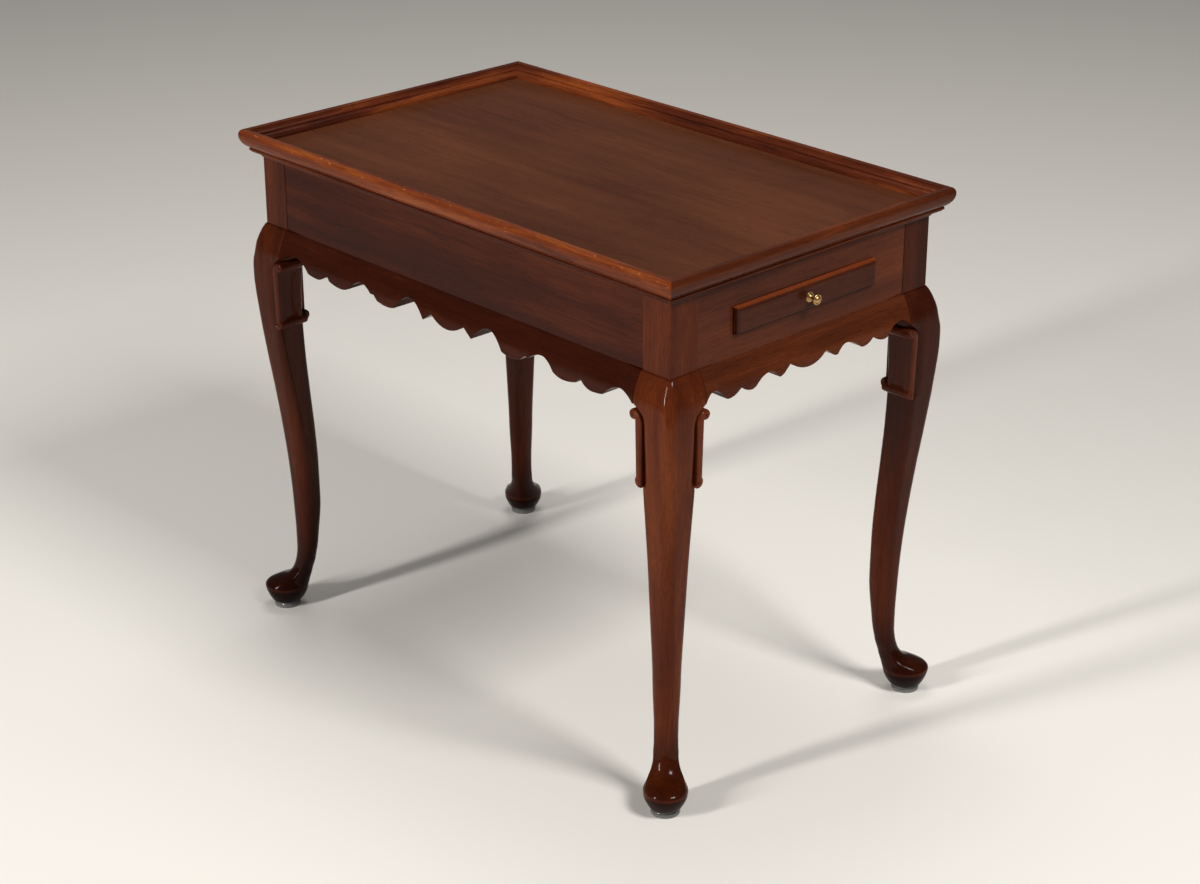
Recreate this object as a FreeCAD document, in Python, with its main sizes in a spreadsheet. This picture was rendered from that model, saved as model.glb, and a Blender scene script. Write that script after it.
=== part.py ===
import FreeCAD, Part
import math
import os
import Sketcher

# A tray top tea table on four cabriole legs, in millimetres.
# The origin is on the floor under the middle of the top, +X runs along the
# length, -Y is the front and +Z is up.
# Front pieces turned half round about Z make the back ones, and right pieces
# make the left ones. A leg is drawn about the axis of its own post, with its
# outer faces towards +X and -Y.

SIZES = [
    ("table_length", "792", "length over the rim"),
    ("table_width", "485", "width over the rim"),
    ("table_height", "686", "height to the top of the rim"),
    ("board_thickness", "17.5", "tray board"),
    ("apron_height", "92", "frame above the knee ledge"),
    ("post_width", "44", "side of the square leg posts"),
    ("rim_round_out", "3.2", "rim, outer rounding, across"),
    ("rim_round_drop", "7", "rim, outer rounding, down"),
    ("land_width", "7.3", "rim, land on top"),
    ("land_fall", "0.5", "rim, slope of the land"),
    ("cavetto_reach", "5", "rim, hollow inside the land, across"),
    ("cavetto_drop", "6", "rim, hollow inside the land, down"),
    ("rim_shelf", "1.5", "rim, flat below the hollow"),
    ("rim_step", "1.5", "rim, step below the flat"),
    ("inner_ovolo", "7", "rim, rounded inner edge"),
    ("inner_quirk", "1.5", "rim, upright under the rounded edge"),
    ("rim_lip", "2", "rim, cover over the board's edge"),
    ("rim_bite", "3", "rim, depth of its lip in the board's rebate"),
    ("rim_hook", "7", "rim, reach down the board's edge"),
    ("rim_under", "12.6", "rim, width of the flat underside"),
    ("bead_radius", "2.5", "bed moulding, bead"),
    ("bed_reach", "12.7", "bed moulding, beyond the posts"),
    ("bead_neck", "2.2", "bed moulding, fillet behind the bead"),
    ("bed_fillet", "0.8", "bed moulding, height of the fillet"),
    ("cove_drop", "6.5", "bed moulding, height of the cove"),
    ("cove_foot", "1", "bed moulding, foot of the cove"),
    ("knee_ledge", "2.5", "ledge at the top of the knee"),
    ("knee_bulge", "17.5", "knee beyond the post's face"),
    ("knee_depth", "50", "knee, ledge to its fullest"),
    ("knee_zone", "76", "knee, ledge to where the leg tapers"),
    ("leg_back", "18.5", "leg, back faces behind the post's axis"),
    ("ankle_width", "28.2", "leg at its slimmest"),
    ("instep_height", "90", "top of the foot"),
    ("foot_reach", "51", "foot, outer sides from the post's axis"),
    ("foot_heel", "9.7", "foot, inner sides from the post's axis"),
    ("pad_offset", "32", "pad, centre along the leg's diagonal"),
    ("pad_radius", "19.8", "pad under the foot"),
    ("glide_height", "5", "glide under the pad"),
    ("glide_rim", "3", "glide, height of the lower disc"),
    ("glide_radius", "18", "glide, lower disc"),
    ("glide_step", "3", "glide, inset of the upper disc"),
    ("nail_radius", "1.5", "glide nail"),
    ("nail_length", "14", "glide nail in the foot"),
    ("nail_seat", "2.5", "glide nail in the glide"),
    ("skirt_back", "22", "apron, inner face behind the post's face"),
    ("skirt_setback", "1", "apron, face behind the post's face"),
    ("skirt_depth", "46", "apron, ledge to the lowest lobe"),
    ("skirt_ledge", "0.4", "apron, ledge at the middle"),
    ("skirt_flare", "11.5", "apron, lower edge beyond the post's face"),
    ("skirt_turn", "45", "apron, length of the sweep into the knee"),
    ("skirt_stock", "9", "apron, timber below the knee's fullest"),
    ("tenon_thickness", "9", "apron tenon"),
    ("tenon_setback", "12", "apron tenon behind the post's face"),
    ("tenon_length", "20", "apron tenon"),
    ("tenon_shoulder", "6", "apron tenon, shoulders above and below"),
    ("joint_clear", "0.2", "clearance of tenons, cleats and the rim's lip"),
    ("roll_radius", "7.4", "ear, lower roll"),
    ("roll_offset", "8", "ear, lower roll from the post's axis"),
    ("roll_depth", "131", "ear, lower roll below the ledge"),
    ("volute_radius", "6.3", "ear, upper volute"),
    ("volute_offset", "20.5", "ear, upper volute from the post's axis"),
    ("volute_depth", "49", "ear, upper volute below the ledge"),
    ("stem_side", "6.1", "ear, stem's outer side beyond the middle of the roll"),
    ("stem_rise", "4.2", "ear, start of the stem above the middle of the roll"),
    ("ear_length", "34", "ear, front to back"),
    ("ear_fall", "5.3", "ear, slope of its front"),
    ("ear_setback", "0.5", "ear, front behind the fullest of the knee"),
    ("slide_width", "226", "slide board, side to side"),
    ("slide_thickness", "16", "slide board"),
    ("slide_length", "290", "slide board, front to back"),
    ("slide_drop", "47.5", "slide, middle below the frame's top"),
    ("slide_travel", "200", "slide, pull out"),
    ("slide_play", "0.3", "slide, play above, below and at its front"),
    ("slide_side_play", "0.5", "slide, play at each side"),
    ("lip_length", "240", "slide front"),
    ("lip_height", "34", "slide front"),
    ("lip_base", "2.5", "slide front, thickness of its edge"),
    ("lip_field", "5.2", "slide front, field above its edge"),
    ("lip_margin", "1", "slide front, flat round its field"),
    ("lip_round", "4.5", "slide front, rounding of its field"),
    ("knob_radius", "7", "knob"),
    ("knob_length", "15.5", "knob beyond the slide front"),
    ("knob_head", "8.5", "knob, thickness of its head"),
    ("knob_cup", "4", "knob, back of its head, up to its edge"),
    ("knob_neck", "2.6", "knob, radius of its neck"),
    ("plate_radius", "6.3", "knob plate"),
    ("plate_thickness", "2.5", "knob plate"),
    ("plate_rim", "1", "knob plate, thickness of its edge"),
    ("plate_step", "1.6", "knob plate, width of its edge"),
    ("knob_stud", "2", "knob, radius of its stud"),
    ("stud_seat", "6", "knob, stud in the slide board"),
    ("peg_radius", "4", "stop peg"),
    ("peg_drop", "14", "stop peg below the slide"),
    ("peg_seat", "10", "stop peg in the slide"),
    ("peg_spread", "60", "stop pegs from the middle"),
    ("rail_thickness", "20", "guide rail"),
    ("rail_groove", "6", "guide rail, depth of its groove"),
    ("rail_foot", "7", "guide rail below the slide"),
    ("cleat_width", "20", "cleat and its height"),
    ("block_gap", "2.5", "corner block, clear of the guide rail"),
    ("block_height", "30", "corner block"),
    ("screw_radius", "2", "top screw"),
    ("screw_head", "4", "top screw, radius of its head"),
    ("head_height", "2.5", "top screw, height of its head"),
    ("screw_bite", "11", "top screw in the board"),
    ("screw_spread", "130", "cleat screws from the middle"),
]

doc = FreeCAD.newDocument("tea_table")
sheet = doc.addObject("Spreadsheet::Sheet", "dim")
for row, (alias, value, meaning) in enumerate(SIZES, start=1):
    sheet.set("A%d" % row, meaning)
    sheet.set("B%d" % row, value)
    sheet.setAlias("B%d" % row, alias)
doc.recompute()

# Places that several pieces share, as formulas of the sheet's sizes.
TRAY_DEPTH = ("(dim.land_fall + dim.cavetto_drop + dim.rim_step"
              " + dim.inner_ovolo + dim.inner_quirk)")
LAND_END = "(dim.rim_round_out + dim.land_width)"
SHELF_END = f"({LAND_END} + dim.cavetto_reach + dim.rim_shelf)"
RIM_WIDTH = f"({SHELF_END} + dim.inner_ovolo)"
OVERHANG = f"({RIM_WIDTH} - dim.rim_lip)"
RIM_DROP = f"({TRAY_DEPTH} + dim.rim_hook)"
FACE_X = f"(dim.table_length / 2 - {OVERHANG})"
FACE_Y = f"(dim.table_width / 2 - {OVERHANG})"
FLOOR_Z = f"(dim.table_height - {TRAY_DEPTH})"
FRAME_Z = f"({FLOOR_Z} - dim.board_thickness)"
KNEE_Z = f"({FRAME_Z} - dim.apron_height)"
AXIS_X = f"({FACE_X} - dim.post_width / 2)"
AXIS_Y = f"({FACE_Y} - dim.post_width / 2)"
SPAN_X = f"({FACE_X} - dim.post_width)"
SPAN_Y = f"({FACE_Y} - dim.post_width)"
INSIDE_X = f"({FACE_X} - dim.skirt_back)"
INSIDE_Y = f"({FACE_Y} - dim.skirt_back)"
HALF_POST = "(dim.post_width / 2)"
HALF_ANKLE = "(dim.ankle_width / 2)"
KNEE_OUT = f"({HALF_POST} + dim.knee_bulge)"
SLIDE_Z = f"({FRAME_Z} - dim.slide_drop)"
SLOT_HALF = "(dim.slide_thickness / 2 + dim.slide_play)"
SLIDE_END = f"({FACE_X} - dim.skirt_setback + dim.slide_play)"
LIP_FACE = f"({SLIDE_END} + dim.lip_base + dim.lip_field)"
RAIL_INSIDE = "(dim.slide_width / 2 + dim.slide_side_play - dim.rail_groove)"
RAIL_OUTSIDE = f"({RAIL_INSIDE} + dim.rail_thickness)"
BLOCK_LEG = f"({SPAN_Y} - {RAIL_OUTSIDE} - dim.block_gap)"
PAD_CENTRE = "(dim.pad_offset / sqrt(2))"

CORNERS = [("front_right", 0), ("back_right", 90), ("back_left", 180), ("front_left", 270)]
PIN_SIDES = 8
TURNED_SIDES = 24
Z_AXIS = FreeCAD.Vector(0, 0, 1)
parts = []


def num(formula):
    """The number that a formula of the sheet's sizes gives."""
    return float(sheet.evalExpression(formula))


def origin_plane(body, role):
    return next(item for item in body.Origin.OriginFeatures if item.Role == role)


def new_sketch(body, role, name, height="0", turn=0):
    """A sketch on one of the body's own planes, raised by height."""
    sketch = body.newObject("Sketcher::SketchObject", name)
    sketch.AttachmentSupport = [(origin_plane(body, role), "")]
    sketch.MapMode = "FlatFace"
    sketch.AttachmentOffset = FreeCAD.Placement(FreeCAD.Vector(), FreeCAD.Rotation(Z_AXIS, turn))
    sketch.setExpression("AttachmentOffset.Base.z", height)
    return sketch


def arc_edge(start, end, kind):
    """A circular arc that is level or plumb at one end, and whether it runs forwards."""
    fixed, other = (start, end) if kind.endswith("start") else (end, start)
    chord = other - fixed
    square = chord.x ** 2 + chord.y ** 2
    if kind.startswith("level"):
        centre = fixed + FreeCAD.Vector(0, square / (2 * chord.y), 0)
    else:
        centre = fixed + FreeCAD.Vector(square / (2 * chord.x), 0, 0)
    forwards = (start - centre).cross(end - centre).z > 0
    first, last = (start, end) if forwards else (end, start)
    angles = [math.atan2(point.y - centre.y, point.x - centre.x) for point in (first, last)]
    circle = Part.Circle(centre, Z_AXIS, (start - centre).Length)
    return Part.ArcOfCircle(circle, *angles), forwards


def draw(sketch, nodes):
    """A closed outline through nodes (x, y, edge to the next node).

    An edge is "line", or an arc that is "level" or "plumb" at its "start" or "end".
    """
    first = sketch.GeometryCount
    points = [FreeCAD.Vector(num(x), num(y), 0) for x, y, edge in nodes]
    edges = []
    ends = []
    for index, (x, y, kind) in enumerate(nodes):
        start = points[index]
        end = points[(index + 1) % len(nodes)]
        forwards = True
        if kind == "line":
            edges.append(Part.LineSegment(start, end))
        else:
            arc, forwards = arc_edge(start, end, kind)
            edges.append(arc)
        ends.append((1, 2) if forwards else (2, 1))
    sketch.addGeometry(edges)
    rules = []
    for index, (x, y, kind) in enumerate(nodes):
        after = (index + 1) % len(nodes)
        edge = first + index
        joint = (edge, ends[index][1], first + after, ends[after][0])
        rules.append(Sketcher.Constraint("Coincident", *joint))
        if kind != "line":
            direction = "Vertical" if kind.startswith("level") else "Horizontal"
            fixed = ends[index][0] if kind.endswith("start") else ends[index][1]
            rules.append(Sketcher.Constraint(direction, edge, 3, edge, fixed))
    sketch.addConstraint(rules)
    for index, (x, y, kind) in enumerate(nodes):
        point = points[index]
        for direction, formula, value in (("DistanceX", x, point.x), ("DistanceY", y, point.y)):
            rule = Sketcher.Constraint(direction, first + index, ends[index][0], value)
            number = sketch.addConstraint(rule)
            sketch.setExpression("Constraints[%d]" % number, formula)
    return sketch


def rectangle(sketch, left, right, low, high):
    corners = [(left, low), (right, low), (right, high), (left, high)]
    return draw(sketch, [(x, y, "line") for x, y in corners])


def around(x, y, reach_x, reach_y, start, turn, chords):
    """Formulas of points on an arc or oval about x, y, evenly spaced in angle."""
    points = []
    for chord in range(chords + 1):
        angle = math.radians(start + turn * chord / chords)
        across = f"{x} + ({math.cos(angle):.5f}) * {reach_x}"
        points.append((across, f"{y} + ({math.sin(angle):.5f}) * {reach_y}"))
    return points


def oval(sketch, x, y, reach_x, reach_y, sides):
    """A closed oval in equal chords, its corners on the true curve."""
    points = around(x, y, reach_x, reach_y, 0, 360, sides)[:-1]
    return draw(sketch, [(x, y, "line") for x, y in points])


def many_sided(sketch, x, y, radius, sides):
    """A regular polygon that stands for a small round."""
    return oval(sketch, x, y, radius, radius, sides)


def pad(body, sketch, length, both_ways=False, backwards=False):
    feature = body.newObject("PartDesign::Pad", "pad")
    feature.Profile = sketch
    feature.Midplane = both_ways
    feature.Reversed = backwards
    feature.setExpression("Length", length)
    return feature


def pocket(body, sketch, depth=None, both_ways=False, backwards=False):
    """A cut of the sketch, through everything where no depth is given."""
    feature = body.newObject("PartDesign::Pocket", "pocket")
    feature.Profile = sketch
    feature.Midplane = both_ways
    feature.Reversed = backwards
    if depth is None:
        feature.Type = "ThroughAll"
    else:
        feature.setExpression("Length", depth)
    return feature


def loft(body, sections, kind="PartDesign::AdditiveLoft"):
    feature = body.newObject(kind, "loft")
    feature.Profile = sections[0]
    feature.Sections = sections[1:]
    feature.Ruled = True
    return feature


def flat_faced(body, label):
    """The body's solid, its flat lofted faces turned from spline patches into planes."""
    doc.recompute()
    faces = []
    for face in body.Shape.Faces:
        plane = face.findPlane()
        if plane is not None and face.Surface.TypeId == "Part::GeomBSplineSurface":
            flat = Part.Face(plane, face.OuterWire)
            if flat.normalAt(0, 0).dot(face.normalAt(*face.Surface.parameter(flat.CenterOfMass))) < 0:
                flat.reverse()
            face = flat
        faces.append(face)
    feature = doc.addObject("Part::Feature", label)
    feature.Shape = Part.Solid(Part.Shell(faces))
    if abs(feature.Shape.Volume - body.Shape.Volume) > 1e-6 * body.Shape.Volume:
        raise RuntimeError("%s changed its volume" % label)
    return feature


def new_body(label):
    body = doc.addObject("PartDesign::Body", label)
    body.Label = label
    return body


def place(piece, turn, x="0", y="0", z="0"):
    """Turns a piece about Z, and puts its own origin at x, y, z."""
    piece.Placement = FreeCAD.Placement(FreeCAD.Vector(), FreeCAD.Rotation(Z_AXIS, turn))
    for axis, formula in (("x", x), ("y", y), ("z", z)):
        piece.setExpression("Placement.Base.%s" % axis, formula)
    return piece


def keep(piece):
    parts.append(piece)
    return piece


def copy_of(source, label):
    """A body of its own with the form of another."""
    body = new_body(label)
    base = body.newObject("PartDesign::FeatureBase", "form")
    base.BaseFeature = source
    body.Tip = base
    return body


def group(label, pieces):
    """Loose pieces of one kind that share a node."""
    compound = doc.addObject("Part::Compound", label)
    compound.Label = label
    compound.Links = pieces
    return keep(compound)


def at_corner(piece, turn, x="0", y="0", z="0"):
    """Puts a piece drawn about a post's axis at the corner that its turn gives."""
    side_x = "" if turn in (0, 90) else "-"
    side_y = "" if turn in (90, 180) else "-"
    turned = {0: (x, y), 90: (f"-({y})", x), 180: (f"-({x})", f"-({y})"), 270: (y, f"-({x})")}
    moved_x, moved_y = turned[turn]
    return place(piece, turn, f"{side_x}{AXIS_X} + {moved_x}", f"{side_y}{AXIS_Y} + {moved_y}", z)


# Tray board: one flat panel, flush with the outer faces of the posts and
# rebated along its upper edges for the rim's lip. Screws come up into blind
# holes in its underside.

CORNER_SCREW_X = f"({SPAN_X} - {BLOCK_LEG} / 3)"
CORNER_SCREW_Y = f"({INSIDE_Y} - {BLOCK_LEG} / 3)"
REBATE = "(dim.rim_lip + dim.joint_clear)"
CLEAT_MIDDLE = f"({INSIDE_Y} - dim.cleat_width / 2)"
CORNER_SCREWS = [(f"{a}{CORNER_SCREW_X}", f"{b}{CORNER_SCREW_Y}") for a in ("", "-") for b in ("", "-")]
CLEAT_SCREWS = [(f"{a}dim.screw_spread", f"{b}{CLEAT_MIDDLE}") for a in ("", "-") for b in ("", "-")]

board = new_body("tray_board")
board_sketch = new_sketch(board, "XY_Plane", "panel", FRAME_Z)
rectangle(board_sketch, f"-{FACE_X}", FACE_X, f"-{FACE_Y}", FACE_Y)
pad(board, board_sketch, "dim.board_thickness - dim.rim_bite")
field_sketch = new_sketch(board, "XY_Plane", "field", f"{FLOOR_Z} - dim.rim_bite")
rectangle(field_sketch, f"{REBATE} - {FACE_X}", f"{FACE_X} - {REBATE}",
          f"{REBATE} - {FACE_Y}", f"{FACE_Y} - {REBATE}")
pad(board, field_sketch, "dim.rim_bite")
hole_sketch = new_sketch(board, "XY_Plane", "screw_holes", FRAME_Z)
for x, y in CORNER_SCREWS + CLEAT_SCREWS:
    many_sided(hole_sketch, x, y, "dim.screw_radius", PIN_SIDES)
pocket(board, hole_sketch, "dim.screw_bite", backwards=True)
keep(board)


# Rim and bed mouldings: run as lengths of one section and mitred at the
# corners. The rim's lip lies in the board's rebate, the bed moulding under it.

def mitre(body, half_length, edge, width):
    """Cuts both ends of a moulding at 45 degrees from its outer corners."""
    sketch = new_sketch(body, "XY_Plane", "mitres")
    outer = f"-({edge})"
    inner = f"-({edge}) + {width} + 1"
    for side in ("", "-"):
        draw(sketch, [
            (f"{side}({half_length})", outer, "line"),
            (f"{side}({half_length} + 1)", outer, "line"),
            (f"{side}({half_length} + 1)", inner, "line"),
            (f"{side}({half_length} - {width} - 1)", inner, "line"),
        ])
    pocket(body, sketch, both_ways=True)


def rim_moulding(label, half_length, edge):
    """A rim along the front, with its outermost edge at -edge."""
    body = new_body(label)
    sketch = new_sketch(body, "YZ_Plane", "section")

    def node(inset, drop, kind):
        return (f"{inset} - {edge}", f"dim.table_height - {drop}", kind)

    draw(sketch, [
        node(f"{OVERHANG}", RIM_DROP, "line"),
        node(f"({OVERHANG} - dim.rim_under)", RIM_DROP, "plumb end"),
        node("0", "dim.rim_round_drop", "plumb start"),
        node("dim.rim_round_out", "0", "line"),
        node(LAND_END, "dim.land_fall", "plumb start"),
        node(f"({LAND_END} + dim.cavetto_reach)", "(dim.land_fall + dim.cavetto_drop)", "line"),
        node(SHELF_END, "(dim.land_fall + dim.cavetto_drop)", "line"),
        node(SHELF_END, f"({TRAY_DEPTH} - dim.inner_quirk - dim.inner_ovolo)", "level start"),
        node(RIM_WIDTH, f"({TRAY_DEPTH} - dim.inner_quirk)", "line"),
        node(RIM_WIDTH, f"({TRAY_DEPTH} + dim.rim_bite)", "line"),
        node(OVERHANG, f"({TRAY_DEPTH} + dim.rim_bite)", "line"),
    ])
    pad(body, sketch, f"2 * {half_length}", both_ways=True)
    mitre(body, half_length, edge, RIM_WIDTH)
    return keep(body)


def bed_moulding(label, half_face, face):
    """A bed moulding along the front, its back against the plane at -face."""
    body = new_body(label)
    sketch = new_sketch(body, "YZ_Plane", "section")

    def node(reach, drop, kind):
        return (f"-({face} + {reach})", f"dim.table_height - {RIM_DROP} - {drop}", kind)

    bead_drop = "2 * dim.bead_radius"
    fillet = "(dim.bed_reach - dim.bead_neck)"
    draw(sketch, [
        node("0", "0", "line"),
        node("0", f"({bead_drop} + dim.bed_fillet + dim.cove_drop)", "line"),
        node("dim.cove_foot", f"({bead_drop} + dim.bed_fillet + dim.cove_drop)", "level end"),
        node(fillet, f"({bead_drop} + dim.bed_fillet)", "line"),
        node(fillet, bead_drop, "plumb end"),
        node("dim.bed_reach", "dim.bead_radius", "plumb start"),
        node("(dim.bed_reach - dim.bead_radius)", "0", "line"),
    ])
    pad(body, sketch, f"2 * ({half_face} + dim.bed_reach)", both_ways=True)
    mitre(body, f"{half_face} + dim.bed_reach", f"{face} + dim.bed_reach", "dim.bed_reach")
    return keep(body)


def pair(build, names, turns, *sizes):
    """One piece made in its pattern place, turned, and a copy on the other side."""
    first = build(names[0], *sizes)
    second = keep(copy_of(first, names[1]))
    place(first, turns[0])
    place(second, turns[1])


pair(rim_moulding, ("rim_front", "rim_back"), (0, 180), "dim.table_length / 2", "dim.table_width / 2")
pair(rim_moulding, ("rim_right", "rim_left"), (90, 270), "dim.table_width / 2", "dim.table_length / 2")
pair(bed_moulding, ("bed_moulding_front", "bed_moulding_back"), (0, 180), FACE_X, FACE_Y)
pair(bed_moulding, ("bed_moulding_right", "bed_moulding_left"), (90, 270), FACE_Y, FACE_X)


# Legs: each is one length of timber, square at the post and carved below it
# into a knee, a tapering shaft, a slim ankle and a slipper foot.

KNEE_RADIUS = ("((dim.knee_depth^2 + (dim.knee_bulge - dim.knee_ledge)^2)"
               " / (2 * (dim.knee_bulge - dim.knee_ledge)))")
CORNER_CHORDS = 4
KNEE_SHARPNESS = 0.012
KNEE_STATIONS = [
    # share of the knee's depth, roundness of the arris
    (0, 0.12),
    (0.20, 0.165),
    (0.45, 0.205),
    (0.72, 0.22),
]
LOWER_KNEE_STATIONS = [
    # share of the knee zone, share of the post behind the axis, arris, side, back
    (0.66, 0.93, 0.20, 0.02, 0.02),
    (0.79, 0.64, 0.19, 0.04, 0.06),
    (1.0, 0.43, 0.175, 0.07, 0.12),
]
SHAFT_STATIONS = [
    # height share from instep to knee, front share, back share, arris, side, back roundness
    (0.863, 0.886, 0.465, 0.265, 0.11, 0.177),
    (0.726, 0.709, 0.557, 0.330, 0.177, 0.212),
    (0.589, 0.488, 0.708, 0.354, 0.253, 0.253),
    (0.454, 0.287, 0.870, 0.347, 0.320, 0.293),
    (0.317, 0.134, 0.990, 0.363, 0.419, 0.349),
    (0.180, 0.035, 1.000, 0.379, 0.470, 0.373),
    (0.043, 0.000, 0.827, 0.459, 0.470, 0.459),
]
FOOT_STATIONS = [
    # share of the instep's height, share of the reach, heel share, front and back, sides
    (1.000, 0.000, 1.37, 0.484, 0.440),
    (0.833, 0.030, 1.12, 0.519, 0.380),
    (0.711, 0.084, 0.96, 0.511, 0.337),
    (0.567, 0.245, 0.89, 0.505, 0.427),
    (0.522, 0.343, 0.90, 0.494, 0.446),
    (0.461, 0.630, 0.93, 0.453, 0.453),
    (0.428, 0.797, 0.95, 0.436, 0.448),
    (0.389, 0.943, 0.97, 0.429, 0.467),
    (0.344, 1.000, 1.00, 0.428, 0.473),
]
SOLE_CHORDS = 20
SOLE_STATIONS = [
    # share from glide to instep, share of the pad's offset, half length and width in pad radii
    (0.000, 1.000, 1.005, 1.00),
    (0.082, 0.984, 1.237, 1.18),
    (0.224, 0.980, 1.439, 1.36),
    (0.294, 0.994, 1.525, 1.38),
    (0.388, 0.991, 1.631, 1.15),
    (0.459, 0.963, 1.677, 0.94),
    (0.529, 0.933, 1.727, 0.854),
    (0.765, 0.850, 1.944, 1.060),
]


def leg_station(body, height, out, back, arris, side, inner):
    """A square with four rounded corners in chords; the roundness is given as shares of its side."""
    corners = [
        # a corner's place, the way from it to its centre, roundness, start of its turn
        (out, f"-{out}", "-", "+", arris, -90),
        (out, back, "-", "-", side, 0),
        (f"-{back}", back, "+", "-", inner, 90),
        (f"-{back}", f"-{out}", "+", "+", side, 180),
    ]
    points = []
    for x, y, way_x, way_y, share, start in corners:
        radius = f"{share} * ({out} + {back})"
        centre = (f"{x} {way_x} {radius}", f"{y} {way_y} {radius}")
        points += around(*centre, radius, radius, start, 90, CORNER_CHORDS)
    return draw(new_sketch(body, "XY_Plane", "station", height), [(x, y, "line") for x, y in points])


def knee_stations(body):
    """Stations from the ledge down to where the leg starts to taper."""
    stations = []
    for share, arris in KNEE_STATIONS:
        rise = f"(1 - {share}) * dim.knee_depth"
        bulge = f"dim.knee_bulge - {KNEE_RADIUS} + sqrt({KNEE_RADIUS}^2 - ({rise})^2)"
        out = f"({HALF_POST} + {bulge})"
        height = f"{KNEE_Z} - {share} * dim.knee_depth"
        stations.append(leg_station(body, height, out, HALF_POST, arris, KNEE_SHARPNESS, KNEE_SHARPNESS))
    for share, back_share, arris, side, inner in LOWER_KNEE_STATIONS:
        height = f"{KNEE_Z} - {share} * dim.knee_zone"
        back = f"({back_share} * {HALF_POST})"
        stations.append(leg_station(body, height, KNEE_OUT, back, arris, side, inner))
    return stations


def shaft_stations(body):
    """Stations of the taper, from the knee down to the ankle."""
    stations = []
    for share, front_share, back_share, arris, side, inner in SHAFT_STATIONS:
        height = f"dim.instep_height + {share} * ({KNEE_Z} - dim.knee_zone - dim.instep_height)"
        out = f"({HALF_ANKLE} + {front_share} * ({KNEE_OUT} - {HALF_ANKLE}))"
        back = f"({back_share} * dim.leg_back)"
        stations.append(leg_station(body, height, out, back, arris, side, inner))
    return stations


def foot_stations(body):
    """Stations of the instep, spreading from the ankle to the toe."""
    stations = []
    for share, reach_share, heel_share, arris, side in FOOT_STATIONS:
        height = f"{share} * dim.instep_height"
        out = f"({HALF_ANKLE} + {reach_share} * (dim.foot_reach - {HALF_ANKLE}))"
        back = f"({heel_share} * dim.foot_heel)"
        stations.append(leg_station(body, height, out, back, arris, side, arris))
    return stations


def add_toe_block(body):
    """The upright sides below the last station, down to the glide."""
    share, reach_share, heel_share, arris, side = FOOT_STATIONS[-1]
    sketch = leg_station(body, "dim.glide_height", "dim.foot_reach", "dim.foot_heel", arris, side, arris)
    pad(body, sketch, f"{share} * dim.instep_height - dim.glide_height")


def sole_waste():
    """What the carver takes off below the instep to leave the toe, heel and pad."""
    body = new_body("sole_waste")
    sketch = new_sketch(body, "XY_Plane", "blank")
    rectangle(sketch, f"-{KNEE_OUT} - dim.foot_reach", f"{KNEE_OUT} + dim.foot_reach",
              f"-{KNEE_OUT} - dim.foot_reach", f"{KNEE_OUT} + dim.foot_reach")
    rise = "(dim.instep_height - dim.glide_height)"
    pad(body, sketch, f"dim.glide_height + {SOLE_STATIONS[-1][0]} * {rise}")
    sections = []
    for share, offset_share, length_share, width_share in SOLE_STATIONS:
        section = new_sketch(body, "XY_Plane", "sole", f"dim.glide_height + {share} * {rise}", turn=-45)
        oval(section, f"{offset_share} * dim.pad_offset", "0", f"{length_share} * dim.pad_radius",
             f"{width_share} * dim.pad_radius", SOLE_CHORDS)
        sections.append(section)
    loft(body, sections, "PartDesign::SubtractiveLoft")
    return body


def cut_mortises(body):
    """Two blind mortises in the post, one for each apron's tenon."""
    near = f"({HALF_POST} - dim.tenon_setback - dim.tenon_thickness - dim.joint_clear)"
    far = f"({HALF_POST} - dim.tenon_setback + dim.joint_clear)"
    deep = f"({HALF_POST} - dim.tenon_length - dim.joint_clear)"
    low = f"{KNEE_Z} + dim.tenon_shoulder - dim.joint_clear"
    high = f"{FRAME_Z} - dim.tenon_shoulder + dim.joint_clear"
    long_sketch = new_sketch(body, "XZ_Plane", "long_mortise", near)
    rectangle(long_sketch, f"-{HALF_POST} - 1", f"-{deep}", low, high)
    pocket(body, long_sketch, f"{far} - {near}", backwards=True)
    end_sketch = new_sketch(body, "YZ_Plane", "end_mortise", near)
    rectangle(end_sketch, deep, f"{HALF_POST} + 1", low, high)
    pocket(body, end_sketch, f"{far} - {near}", backwards=True)


def leg_pattern():
    body = new_body("leg_carved")
    loft(body, knee_stations(body) + shaft_stations(body) + foot_stations(body))
    add_toe_block(body)
    post = new_sketch(body, "XY_Plane", "post", KNEE_Z)
    rectangle(post, f"-{HALF_POST}", HALF_POST, f"-{HALF_POST}", HALF_POST)
    pad(body, post, "dim.apron_height")
    waste = body.newObject("PartDesign::Boolean", "carving")
    waste.setObjects([sole_waste()])
    waste.Type = "Cut"
    seams = new_sketch(body, "XY_Plane", "seams", FRAME_Z)
    far = f"({KNEE_OUT} + dim.foot_reach)"
    rectangle(seams, f"-{far}", f"-{HALF_POST}", f"-{far}", far)
    rectangle(seams, f"-{HALF_POST}", far, HALF_POST, far)
    pocket(body, seams)
    cut_mortises(body)
    nail = new_sketch(body, "XY_Plane", "nail_hole")
    many_sided(nail, PAD_CENTRE, f"-{PAD_CENTRE}", "dim.nail_radius", PIN_SIDES)
    pocket(body, nail, "dim.glide_height + dim.nail_length", backwards=True)
    return body


leg = flat_faced(leg_pattern(), "leg_pattern")
for corner, turn in CORNERS:
    at_corner(keep(copy_of(leg, "leg_" + corner)), turn)


# Ears: small carved C-scrolls glued to the two inner faces of each knee,
# with a volute curling out under the apron and a roll at the lower end.

EAR_FRONT = f"({KNEE_OUT} - dim.ear_setback)"


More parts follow.
